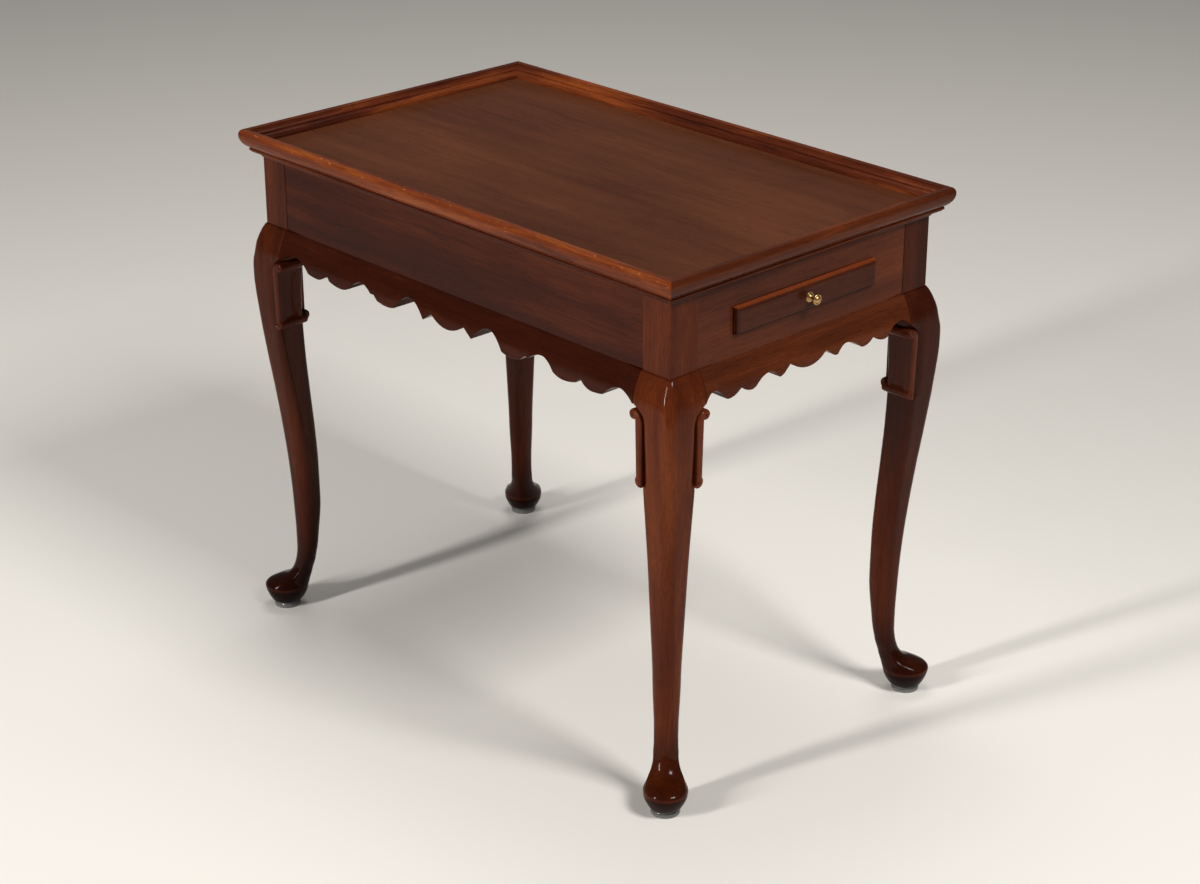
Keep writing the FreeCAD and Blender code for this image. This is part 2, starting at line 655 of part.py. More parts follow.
def ear_blank():
    """The scroll as sawn, in front of the long apron's side of the leg."""
    body = new_body("ear_blank")
    roll_z = f"({KNEE_Z} - dim.roll_depth)"
    volute_z = f"({KNEE_Z} - dim.volute_depth)"
    sketch = new_sketch(body, "XZ_Plane", "scroll", f"{EAR_FRONT} - dim.ear_length")
    outline = [("0", f"{roll_z} - dim.roll_radius")]
    outline += around("-dim.roll_offset", roll_z, "dim.roll_radius", "dim.roll_radius", -90, -90, 3)
    outline.append(("-(dim.roll_offset + dim.stem_side)", f"{roll_z} + dim.stem_rise"))
    outline += around("-dim.volute_offset", volute_z, "dim.volute_radius", "dim.volute_radius", -90, -180, 6)
    outline.append(("0", f"{volute_z} + dim.volute_radius"))
    draw(sketch, [(x, z, "line") for x, z in outline])
    pad(body, sketch, "dim.ear_length")
    front = new_sketch(body, "YZ_Plane", "front")
    middle_z = f"({KNEE_Z} - dim.knee_zone)"
    low_z = f"({roll_z} - 2 * dim.roll_radius)"
    draw(front, [
        (f"-{EAR_FRONT}", middle_z, "line"),
        (f"0.25 * dim.ear_fall - {EAR_FRONT}", f"({middle_z} + {low_z}) / 2", "line"),
        (f"dim.ear_fall - {EAR_FRONT}", low_z, "line"),
        (f"-{EAR_FRONT} - 1", low_z, "line"),
        (f"-{EAR_FRONT} - 1", middle_z, "line"),
    ])
    pocket(body, front, both_ways=True)
    return body


ear_on_leg = doc.addObject("Part::Cut", "ear_long_pattern")
ear_on_leg.Base = ear_blank()
ear_on_leg.Tool = leg
ear_mirrored = doc.addObject("Part::Mirroring", "ear_end_pattern")
ear_mirrored.Source = ear_on_leg
ear_mirrored.Normal = FreeCAD.Vector(1, 1, 0)
for corner, turn in CORNERS:
    under_long, under_end = ("long", "end") if turn in (0, 180) else ("end", "long")
    at_corner(keep(copy_of(ear_on_leg, "ear_%s_%s" % (corner, under_long))), turn)
    at_corner(keep(copy_of(ear_mirrored, "ear_%s_%s" % (corner, under_end))), turn)


# Aprons: thick rails, upright above and flared below, where the lower edge
# is sawn into lobes, arches and cusps, their curves in chords. Each end has
# a tenon in its post.
# A node is (share of the half length, share of the depth, edge to the next).

LONG_SKIRT = [
    (0.0000, 0.917, "lobe"),
    (0.0909, 0.674, "line"),
    (0.1364, 0.900, "arch"),
    (0.2242, 0.478, "arch"),
    (0.3061, 0.913, "lobe"),
    (0.3485, 0.967, "lobe"),
    (0.4061, 0.913, "line"),
    (0.4273, 0.783, "line"),
    (0.4485, 0.783, "arch"),
    (0.5121, 0.598, "arch"),
    (0.5818, 0.902, "lobe"),
    (0.6333, 0.996, "lobe"),
    (0.7000, 0.913, "line"),
    (0.7182, 0.761, "lobe"),
    (0.7788, 0.989, "lobe"),
    (0.8333, 0.946, "arch"),
    (0.9212, 0.609, "arch"),
    (1.0000, 0.804, "line"),
]
END_SKIRT = [
    (0.0000, 0.902, "lobe"),
    (0.1756, 0.652, "line"),
    (0.2436, 0.841, "lobe"),
    (0.2833, 0.883, "arch"),
    (0.3796, 0.663, "arch"),
    (0.4986, 0.848, "lobe"),
    (0.5496, 0.935, "lobe"),
    (0.6487, 0.772, "lobe"),
    (0.7592, 0.946, "lobe"),
    (0.7932, 0.913, "arch"),
    (0.9235, 0.587, "arch"),
    (1.0000, 0.739, "line"),
]
SKIRT_TURN = [
    # share of the sweep from the knee, ledge and flare as shares from middle to knee
    (1.0, 0.0, 0.0),
    (0.667, 0.1, 0.117),
    (0.333, 0.52, 0.583),
    (0.0, 1.0, 1.0),
]
SKIRT_CHORDS = 3
SKIRT_LOW = f"({KNEE_Z} - dim.knee_depth - dim.skirt_stock)"


def skirt_section(sketch, face, ledge, flare):
    """The cross section of an apron: upright, ledge, flare, and a flat back."""
    knee_low = f"{KNEE_Z} - dim.knee_depth"
    return draw(sketch, [
        (f"dim.skirt_back - {face}", FRAME_Z, "line"),
        (f"dim.skirt_setback - {face}", FRAME_Z, "line"),
        (f"dim.skirt_setback - {face}", KNEE_Z, "line"),
        (f"-({face} + {ledge})", KNEE_Z, "plumb end"),
        (f"-({face} + {flare})", knee_low, "line"),
        (f"-({face} + {flare})", SKIRT_LOW, "line"),
        (f"dim.skirt_back - {face}", SKIRT_LOW, "line"),
    ])


def skirt_nodes(half_length, skirt):
    """The sawn lower edge from one end to the other, both halves alike."""
    nodes = []
    for side in (-1, 1):
        half = list(zip(skirt, skirt[1:]))
        if side < 0:
            half = [(after, (before[0], before[1], before[2])) for before, after in reversed(half)]
        for here, there in half:
            kind = there[2] if side < 0 else here[2]
            level_start = (kind == "lobe") == (here[1] > there[1])
            chords = 1 if kind == "line" else SKIRT_CHORDS
            for chord in range(chords):
                along = chord / chords
                bend = along ** 2 if level_start else 1 - (1 - along) ** 2
                across = here[0] + along * (there[0] - here[0])
                deep = here[1] + (along if kind == "line" else bend) * (there[1] - here[1])
                nodes.append((f"{side * across:.5f} * {half_length}",
                              f"{KNEE_Z} - {deep:.5f} * dim.skirt_depth", "line"))
    last = skirt[-1]
    nodes.append((f"{last[0]} * {half_length}", f"{KNEE_Z} - {last[1]} * dim.skirt_depth", "line"))
    return nodes


def apron(label, half_length, face, skirt):
    """An apron along the front, between posts whose outer faces are at -face."""
    body = new_body(label)
    straight = f"({half_length} - dim.skirt_turn)"
    sketch = new_sketch(body, "YZ_Plane", "section")
    skirt_section(sketch, face, "dim.skirt_ledge", "dim.skirt_flare")
    pad(body, sketch, f"2 * {straight}", both_ways=True)
    for side in (1, -1):
        sections = []
        for share, ledge_share, flare_share in SKIRT_TURN:
            at = f"{side} * ({half_length} - {share} * dim.skirt_turn)"
            ledge = f"(dim.skirt_ledge + {ledge_share} * (dim.knee_ledge - dim.skirt_ledge))"
            flare = f"(dim.skirt_flare + {flare_share} * (dim.knee_bulge - dim.skirt_flare))"
            sections.append(skirt_section(new_sketch(body, "YZ_Plane", "sweep", at), face, ledge, flare))
        loft(body, sections)
    edge = new_sketch(body, "XZ_Plane", "sawn_edge")
    nodes = skirt_nodes(half_length, skirt)
    below = f"{SKIRT_LOW} - 1"
    draw(edge, nodes + [(half_length, below, "line"), (f"-{half_length}", below, "line")])
    pocket(body, edge, both_ways=True)
    tenon = new_sketch(body, "YZ_Plane", "tenon")
    rectangle(tenon, f"dim.tenon_setback - {face}", f"dim.tenon_setback + dim.tenon_thickness - {face}",
              f"{KNEE_Z} + dim.tenon_shoulder", f"{FRAME_Z} - dim.tenon_shoulder")
    pad(body, tenon, f"2 * ({half_length} + dim.tenon_length)", both_ways=True)
    return keep(body)


def end_apron(label, half_length, face, skirt):
    """An apron with the slot that the slide runs through."""
    body = apron(label, half_length, face, skirt)
    slot = new_sketch(body, "XZ_Plane", "slot")
    half_slot = "(dim.slide_width / 2 + dim.slide_side_play)"
    rectangle(slot, f"-{half_slot}", half_slot, f"{SLIDE_Z} - {SLOT_HALF}", f"{SLIDE_Z} + {SLOT_HALF}")
    pocket(body, slot, both_ways=True)
    return body


pair(apron, ("apron_front", "apron_back"), (0, 180), SPAN_X, FACE_Y, LONG_SKIRT)
pair(end_apron, ("apron_right", "apron_left"), (90, 270), SPAN_Y, FACE_X, END_SKIRT)


# Inside the frame: two grooved rails that guide the slides, a cleat along
# each long apron and a block in each corner, all screwed up into the board.

def guide_rail(label):
    body = new_body(label)
    sketch = new_sketch(body, "YZ_Plane", "section")
    inner = f"-{RAIL_INSIDE}"
    groove = f"-({RAIL_INSIDE} + dim.rail_groove)"
    outer = f"-{RAIL_OUTSIDE}"
    foot = f"{SLIDE_Z} - {SLOT_HALF} - dim.rail_foot"
    draw(sketch, [
        (outer, foot, "line"),
        (inner, foot, "line"),
        (inner, f"{SLIDE_Z} - {SLOT_HALF}", "line"),
        (groove, f"{SLIDE_Z} - {SLOT_HALF}", "line"),
        (groove, f"{SLIDE_Z} + {SLOT_HALF}", "line"),
        (inner, f"{SLIDE_Z} + {SLOT_HALF}", "line"),
        (inner, FRAME_Z, "line"),
        (outer, FRAME_Z, "line"),
    ])
    pad(body, sketch, f"2 * {INSIDE_X}", both_ways=True)
    return keep(body)


def cleat(label):
    body = new_body(label)
    half = f"({SPAN_X} - {BLOCK_LEG} - dim.joint_clear)"
    sketch = new_sketch(body, "YZ_Plane", "section")
    rectangle(sketch, f"-{INSIDE_Y}", f"dim.cleat_width - {INSIDE_Y}",
              f"{FRAME_Z} - dim.cleat_width", FRAME_Z)
    pad(body, sketch, f"2 * {half}", both_ways=True)
    holes = new_sketch(body, "XY_Plane", "screw_holes")
    for side in ("", "-"):
        many_sided(holes, f"{side}dim.screw_spread", f"-{CLEAT_MIDDLE}", "dim.screw_radius", PIN_SIDES)
    pocket(body, holes, both_ways=True)
    return keep(body)


pair(guide_rail, ("guide_rail_front", "guide_rail_back"), (0, 180))
pair(cleat, ("cleat_front", "cleat_back"), (0, 180))


def corner_block():
    """The block in the front right corner, notched round the post, about the post's axis."""
    body = new_body("corner_block_pattern")
    inner_face = f"(dim.skirt_back - {HALF_POST})"
    sketch = new_sketch(body, "XY_Plane", "block", f"{FRAME_Z} - dim.block_height")
    draw(sketch, [
        (f"-{HALF_POST}", inner_face, "line"),
        (f"-{HALF_POST}", HALF_POST, "line"),
        (f"-{inner_face}", HALF_POST, "line"),
        (f"-{inner_face}", f"{HALF_POST} + {BLOCK_LEG}", "line"),
        (f"-({HALF_POST} + {BLOCK_LEG})", inner_face, "line"),
    ])
    pad(body, sketch, "dim.block_height")
    hole = new_sketch(body, "XY_Plane", "screw_hole")
    many_sided(hole, f"{CORNER_SCREW_X} - {AXIS_X}", f"{AXIS_Y} - {CORNER_SCREW_Y}",
               "dim.screw_radius", PIN_SIDES)
    pocket(body, hole, both_ways=True)
    return body


def mirrored(source, name):
    mirror = doc.addObject("Part::Mirroring", name)
    mirror.Source = source
    mirror.Normal = FreeCAD.Vector(1, 0, 0)
    return mirror


block = corner_block()
block_mirrored = mirrored(block, "corner_block_mirrored")
for corner, turn in CORNERS:
    piece = keep(copy_of(block if turn in (0, 180) else block_mirrored, "corner_block_" + corner))
    side_x = "" if turn in (0, 90) else "-"
    side_y = "" if turn in (90, 180) else "-"
    place(piece, 0 if turn in (0, 270) else 180, f"{side_x}{AXIS_X}", f"{side_y}{AXIS_Y}")


def top_screw(label, length):
    """A pan-headed screw pointing up from its head's seat at the origin."""
    body = new_body(label)
    head = new_sketch(body, "XY_Plane", "head")
    many_sided(head, "0", "0", "dim.screw_head", PIN_SIDES)
    pad(body, head, "dim.head_height", backwards=True)
    shank = new_sketch(body, "XY_Plane", "shank")
    many_sided(shank, "0", "0", "dim.screw_radius", PIN_SIDES)
    pad(body, shank, length)
    return body


block_screw = top_screw("block_screw", "(dim.block_height + dim.screw_bite)")
cleat_screw = top_screw("cleat_screw", "(dim.cleat_width + dim.screw_bite)")
screws = []
for x, y in CORNER_SCREWS:
    screws.append(place(copy_of(block_screw, "screw"), 0, x, y, f"{FRAME_Z} - dim.block_height"))
for x, y in CLEAT_SCREWS:
    screws.append(place(copy_of(cleat_screw, "screw"), 0, x, y, f"{FRAME_Z} - dim.cleat_width"))
group("top_screws", screws)


# Slides: a board in each end, carried in the guide rails, with a moulded
# front, a turned brass knob on a plate, and two pegs that stop it.

def slide_board(label):
    """The right slide, pushed in."""
    body = new_body(label)
    sketch = new_sketch(body, "XY_Plane", "board", f"{SLIDE_Z} - dim.slide_thickness / 2")
    half = "dim.slide_width / 2"
    rectangle(sketch, f"{SLIDE_END} - dim.slide_length", SLIDE_END, f"-{half}", half)
    pad(body, sketch, "dim.slide_thickness")
    holes = new_sketch(body, "XY_Plane", "peg_holes", f"{SLIDE_Z} - dim.slide_thickness / 2")
    for side in ("", "-"):
        many_sided(holes, PEG_X, f"{side}dim.peg_spread", "dim.peg_radius", PIN_SIDES)
    pocket(body, holes, "dim.peg_seat", backwards=True)
    stud = new_sketch(body, "YZ_Plane", "stud_hole", SLIDE_END)
    many_sided(stud, "0", SLIDE_Z, "dim.knob_stud", PIN_SIDES)
    pocket(body, stud, "dim.stud_seat")
    return keep(body)


def slide_front(label):
    """A slab with a rounded field, its back against the end of the slide board."""
    body = new_body(label)
    base = new_sketch(body, "YZ_Plane", "base", SLIDE_END)
    rectangle(base, "-dim.lip_length / 2", "dim.lip_length / 2",
              f"{SLIDE_Z} - dim.lip_height / 2", f"{SLIDE_Z} + dim.lip_height / 2")
    pad(body, base, "dim.lip_base")
    field = new_sketch(body, "YZ_Plane", "field", f"{SLIDE_END} + dim.lip_base")
    half_length = "(dim.lip_length / 2 - dim.lip_margin)"
    half_height = "(dim.lip_height / 2 - dim.lip_margin)"
    rectangle(field, f"-{half_length}", half_length,
              f"{SLIDE_Z} - {half_height}", f"{SLIDE_Z} + {half_height}")
    raised = pad(body, field, "dim.lip_field")
    doc.recompute()
    face = max(range(len(raised.Shape.Faces)), key=lambda index: raised.Shape.Faces[index].CenterOfMass.x)
    rounding = body.newObject("PartDesign::Fillet", "rounding")
    rounding.Base = (raised, ["Face%d" % (face + 1)])
    rounding.setExpression("Radius", "dim.lip_round")
    hole = new_sketch(body, "YZ_Plane", "stud_hole", LIP_FACE)
    many_sided(hole, "0", SLIDE_Z, "dim.knob_stud", PIN_SIDES)
    pocket(body, hole, "dim.lip_base + dim.lip_field")
    return keep(body)


def stop_peg():
    """A dowel standing in the underside of the slide."""
    body = new_body("peg")
    sketch = new_sketch(body, "XY_Plane", "round", f"{SLIDE_Z} - dim.slide_thickness / 2 - dim.peg_drop")
    many_sided(sketch, "0", "0", "dim.peg_radius", PIN_SIDES)
    pad(body, sketch, "dim.peg_drop + dim.peg_seat")
    return body


def round_length(body, name, start, length, radius, sides):
    """A round length along +X, drawn on the YZ plane at start."""
    section = new_sketch(body, "YZ_Plane", name, start)
    many_sided(section, "0", "0", radius, sides)
    return pad(body, section, length)


def knob_plate(label):
    """A stepped round plate under the knob, along +X from the origin."""
    body = new_body(label)
    round_length(body, "rim", "0", "dim.plate_rim", "dim.plate_radius", TURNED_SIDES)
    round_length(body, "boss", "dim.plate_rim", "dim.plate_thickness - dim.plate_rim",
                 "dim.plate_radius - dim.plate_step", TURNED_SIDES)
    hole = new_sketch(body, "YZ_Plane", "stud_hole")
    many_sided(hole, "0", "0", "dim.knob_stud", PIN_SIDES)
    pocket(body, hole, both_ways=True)
    return keep(body)


def knob():
    """A turned knob: stud, neck, and a head cupped behind and flat in front, along +X from the origin."""
    body = new_body("knob_turned")
    back = "(dim.knob_length - dim.knob_head)"
    edge = f"({back} + dim.knob_cup)"
    round_length(body, "stud", f"-{STUD_LENGTH}", f"{STUD_LENGTH} + dim.plate_thickness",
                 "dim.knob_stud", PIN_SIDES)
    round_length(body, "neck", "dim.plate_thickness", f"{back} - dim.plate_thickness",
                 "dim.knob_neck", TURNED_SIDES)
    cup = []
    for name, start, radius in (("cup_back", back, "dim.knob_neck"), ("cup_edge", edge, "dim.knob_radius")):
        section = new_sketch(body, "YZ_Plane", name, start)
        cup.append(many_sided(section, "0", "0", radius, TURNED_SIDES))
    loft(body, cup)
    round_length(body, "head", edge, f"dim.knob_length - {edge}", "dim.knob_radius", TURNED_SIDES)
    return flat_faced(body, "knob_pattern")


PEG_X = f"({INSIDE_X} - dim.slide_travel - dim.peg_radius - dim.slide_side_play)"
STUD_LENGTH = "(dim.lip_base + dim.lip_field + dim.stud_seat)"
pair(slide_board, ("slide_board_right", "slide_board_left"), (0, 180))
pair(slide_front, ("slide_front_right", "slide_front_left"), (0, 180))
peg = stop_peg()
plate_right = knob_plate("knob_plate_right")
knob_form = knob()
for side, turn, sign in (("right", 0, ""), ("left", 180, "-")):
    pegs = [place(copy_of(peg, "peg"), 0, f"{sign}{PEG_X}", f"{y}dim.peg_spread") for y in ("", "-")]
    group("stop_pegs_" + side, pegs)
    plate = plate_right if side == "right" else keep(copy_of(plate_right, "knob_plate_left"))
    place(plate, turn, f"{sign}{LIP_FACE}", "0", SLIDE_Z)
    place(keep(copy_of(knob_form, "knob_" + side)), turn, f"{sign}{LIP_FACE}", "0", SLIDE_Z)


# Glides: a stepped disc of clear plastic under each foot, moulded on a nail.

def glide_pattern():
    body = new_body("glide_pattern")
    lower = new_sketch(body, "XY_Plane", "lower_disc")
    many_sided(lower, "0", "0", "dim.glide_radius", TURNED_SIDES)
    pad(body, lower, "dim.glide_rim")
    upper = new_sketch(body, "XY_Plane", "upper_disc", "dim.glide_rim")
    many_sided(upper, "0", "0", "(dim.glide_radius - dim.glide_step)", TURNED_SIDES)
    pad(body, upper, "dim.glide_height - dim.glide_rim")
    hole = new_sketch(body, "XY_Plane", "nail_hole", "dim.glide_height")
    many_sided(hole, "0", "0", "dim.nail_radius", PIN_SIDES)
    pocket(body, hole, "dim.nail_seat")
    return body


def glide_nail():
    body = new_body("nail_pattern")
    sketch = new_sketch(body, "XY_Plane", "round", "dim.glide_height - dim.nail_seat")
    many_sided(sketch, "0", "0", "dim.nail_radius", PIN_SIDES)
    pad(body, sketch, "dim.nail_seat + dim.nail_length")
    return body


glide = glide_pattern()
nail = glide_nail()
nails = []
for corner, turn in CORNERS:
    at_corner(keep(copy_of(glide, "glide_" + corner)), turn, PAD_CENTRE, f"-{PAD_CENTRE}")
    nails.append(at_corner(copy_of(nail, "nail"), turn, PAD_CENTRE, f"-{PAD_CENTRE}"))
group("glide_nails", nails)


# Every object has to be up to date and every piece sound before it is written.
doc.recompute()
for item in doc.Objects:
    if "Invalid" in item.State or "Error" in item.State:
        raise RuntimeError("%s did not build: %s" % (item.Label, item.State))
for piece in parts:
    if piece.Shape.isNull() or not piece.Shape.isValid():
        raise RuntimeError("%s has no sound shape" % piece.Label)

os.makedirs("parts", exist_ok=True)
for piece in parts:
    piece.Shape.exportStep("parts/%s.step" % piece.Label)
print("%d nodes written" % len(parts))
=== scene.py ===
import bisect
import math

import bpy
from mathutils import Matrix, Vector


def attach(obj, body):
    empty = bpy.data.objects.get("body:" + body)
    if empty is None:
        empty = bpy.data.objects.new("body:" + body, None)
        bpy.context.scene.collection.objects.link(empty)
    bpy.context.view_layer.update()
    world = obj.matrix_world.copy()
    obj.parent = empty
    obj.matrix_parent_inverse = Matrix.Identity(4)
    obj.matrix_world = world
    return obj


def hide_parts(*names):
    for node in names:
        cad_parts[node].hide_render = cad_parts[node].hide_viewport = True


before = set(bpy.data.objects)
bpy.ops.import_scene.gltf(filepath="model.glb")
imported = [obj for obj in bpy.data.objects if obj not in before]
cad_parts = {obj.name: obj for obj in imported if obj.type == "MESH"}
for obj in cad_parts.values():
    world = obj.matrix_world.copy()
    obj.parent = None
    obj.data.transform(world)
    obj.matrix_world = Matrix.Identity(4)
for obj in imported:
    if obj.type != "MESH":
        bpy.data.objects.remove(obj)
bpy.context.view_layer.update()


# ---------------------------------------------------------------------------
# Legs. Cabriole legs, each sawn and shaped with its post and its slipper foot
# from one length of mahogany, stained red brown and sprayed with a satin
# lacquer. Sizes are in millimetres from the post's axis, heights from the floor.
# ---------------------------------------------------------------------------

# The turn in degrees that brings the front right leg to each corner.
CORNERS = {"front_right": 0, "back_right": 90, "back_left": 180, "front_left": 270}
POST_X, POST_Y = 352.0, 198.5    # the posts' axes
HALF_POST = 22.0
FRAME_TOP = 652.0
KNEE_TOP = 560.0
GLIDE_TOP = 9.0
POST_EASING = 0.02               # roundness of the post's edges, as a share of its side
POST_INNER_EASING = 0.012
LEDGE_ROUNDING = 0.9
LEDGE_SHARES = (0.3, 0.7, 1.0)   # the steps in which the ledge rounds over

LEG_STATIONS = (
    # height, outer faces, inner faces, roundness of the arris, of the sides, of the inner corner
    (GLIDE_TOP, 51.0, 9.7, 0.428, 0.473, 0.428),
    (31.0, 51.0, 9.7, 0.428, 0.473, 0.428),
    (35.0, 48.9, 9.4, 0.429, 0.467, 0.429),
    (38.5, 43.5, 9.2, 0.436, 0.448, 0.436),
    (41.5, 37.4, 9.2, 0.453, 0.420, 0.453),
    (44.0, 31.4, 9.3, 0.474, 0.380, 0.474),
    (47.0, 26.8, 9.5, 0.490, 0.345, 0.490),
    (51.0, 23.1, 9.8, 0.495, 0.330, 0.495),
    (57.0, 19.6, 10.1, 0.500, 0.330, 0.500),
    (64.0, 17.2, 10.5, 0.500, 0.330, 0.500),
    (75.0, 15.2, 11.7, 0.500, 0.360, 0.500),
    (90.0, 14.1, 13.8, 0.480, 0.420, 0.480),
    (107.0, 14.1, 15.3, 0.459, 0.470, 0.459),
    (161.0, 15.0, 18.5, 0.379, 0.470, 0.373),
    (215.0, 17.5, 18.3, 0.363, 0.419, 0.349),
    (269.0, 21.4, 16.1, 0.347, 0.320, 0.293),
    (322.0, 26.5, 13.1, 0.354, 0.253, 0.253),
    (376.0, 32.1, 10.3, 0.330, 0.177, 0.212),
    (421.0, 36.0, 8.8, 0.278, 0.120, 0.177),
    (427.0, 36.4, 8.7, 0.270, 0.250, 0.177),
    (434.0, 36.9, 8.7, 0.260, 0.290, 0.170),
    (470.0, 38.8, 9.0, 0.190, 0.300, 0.130),
    (484.0, 39.3, 9.3, 0.175, 0.300, 0.120),
    (500.0, 39.5, 9.6, 0.180, 0.300, 0.080),
    (508.0, 39.4, 11.0, 0.190, 0.285, 0.060),
    (514.0, 39.1, 15.0, 0.202, 0.270, 0.040),
    (518.0, 38.8, 20.5, 0.208, 0.255, 0.030),
    (519.5, 38.7, 22.0, 0.210, 0.230, 0.020),
    (522.5, 38.4, 22.0, 0.218, 0.110, 0.015),
    (525.5, 38.0, 22.0, 0.220, 0.012, 0.012),
    (534.0, 36.3, 22.0, 0.210, 0.012, 0.012),
    (542.0, 33.7, 22.0, 0.200, 0.012, 0.012),
    (549.0, 30.7, 22.0, 0.170, 0.012, 0.012),
    (555.0, 27.6, 22.0, 0.140, 0.012, 0.012),
    (560.0, 24.5, 22.0, 0.120, 0.012, 0.012),
)
SOLE_STATIONS = (
    # height, middle along the diagonal, half length along it, half width
    (GLIDE_TOP, 32.0, 20.2, 20.0),
    (14.0, 31.6, 24.0, 23.0),
    (24.0, 31.4, 28.5, 26.9),
    (30.0, 31.8, 30.2, 27.3),
    (38.0, 31.7, 32.3, 24.0),
    (44.0, 30.8, 33.2, 21.8),
    (50.0, 29.9, 34.2, 20.0),
    (58.0, 28.9, 35.2, 19.2),
    (70.0, 27.2, 38.5, 21.0),
    (80.0, 26.0, 46.0, 30.0),
)
SOLE_TOP = 80.0
SOLE_EDGE = 1.6                  # softness of the edge round the foot
FOOT_STEP, SHAFT_STEP, KNEE_STEP = 1.25, 6.0, 1.25
FOOT_END, SHAFT_END = 100.0, 412.0
ARC_STEPS = 9
SIDE_STEPS = 5
CREASE = math.radians(32)        # sharper edges than this stay crisp

# Mahogany under a red brown stain and a sprayed satin lacquer. The eye gets a
# deep warm brown with soft ribbons of light and dark along the grain, short dark
# pores, and small crisp lights where the lacquer turns towards a lamp.
MAHOGANY_DARK = "#2b0e07"        # the dark side of the ribbon figure
MAHOGANY_RED = "#3e1709"         # the usual stained colour
MAHOGANY_ORANGE = "#5b270e"      # the light side of the figure
LACQUER_IOR = 1.5
LACQUER_SPECULAR = 0.02          # satin lacquer throws back less than a polished one
LACQUER_ROUGHNESS = 0.22
COAT_WEIGHT = 0.17               # the last coat, which gives the crisp lights
COAT_ROUGHNESS = 0.08

RIBBON_WIDTH_MM = 22.0           # light and dark bands of interlocked grain
RIBBON_LENGTH_MM = 380.0
FIBRE_WIDTH_MM = 2.0             # drawn three times as coarse as it is, to show
FIBRE_LENGTH_MM = 80.0
PORE_WIDTH_MM = 0.8              # drawn twice as coarse as it is, to show
PORE_LENGTH_MM = 16.0
CLOUD_MM = 160.0                 # uneven take-up of the stain
GRAIN_WANDER_MM = 20.0           # how far the grain strays from straight
FIBRE_WEIGHT = 0.3
TONE_STOPS = (0.28, 0.50, 0.74)  # where the dark, usual and light tones lie in the figure
PORE_STOPS = ((0.30, "#9a9a9a"), (0.42, "#ffffff"))
PORE_STRENGTH = 0.5
PORE_DEPTH_MM = 0.04
PORE_RELIEF = 0.2
DULLER, GLOSSIER = 0.05, 0.04    # how the lacquer's roughness varies in the clouds


def rgb(hex_colour):
    """An sRGB hex colour as the linear RGBA that the shader wants."""
    parts = [int(hex_colour[i:i + 2], 16) / 255 for i in (1, 3, 5)]
    return tuple(p / 12.92 if p <= 0.04045 else ((p + 0.055) / 1.055) ** 2.4 for p in parts) + (1.0,)


def add(tree, kind, inputs=(), stops=(), **settings):
    """Adds a node with its settings, sets or links its inputs, and places any hex colours on its ramp."""
    node = tree.nodes.new(kind)
    for name, value in settings.items():
        setattr(node, name, value)
    for name, value in dict(inputs).items():
        if isinstance(value, bpy.types.NodeSocket):
            tree.links.new(value, node.inputs[name])
        else:
            node.inputs[name].default_value = value
    if stops:
        elements = node.color_ramp.elements
        while len(elements) < len(stops):
            elements.new(0.5)
        for element, (position, colour) in zip(elements, stops):
            element.position = position
            element.color = rgb(colour)
    return node


def fresh_finish(name):
    """A new finish: its material, its nodes, its shader and the place on the object in metres."""
    material = bpy.data.materials.new(name)
    material.use_nodes = True
    tree = material.node_tree
    return material, tree, tree.nodes["Principled BSDF"], add(tree, "ShaderNodeTexCoord").outputs["Object"]


def along_grain(tree, place, along, length, width, detail, seed):
    """A pattern drawn out along the grain; length and width are in millimetres."""
    scale = [1000 / width] * 3
    scale["XYZ".index(along)] = 1000 / length
    mapping = add(tree, "ShaderNodeMapping",
                  {"Vector": place, "Location": (seed, seed * 1.7, seed * 0.6), "Scale": scale})
    noise = add(tree, "ShaderNodeTexNoise",
                {"Vector": mapping.outputs["Vector"], "Scale": 1.0, "Detail": detail, "Roughness": 0.55})
    return noise.outputs["Fac"]


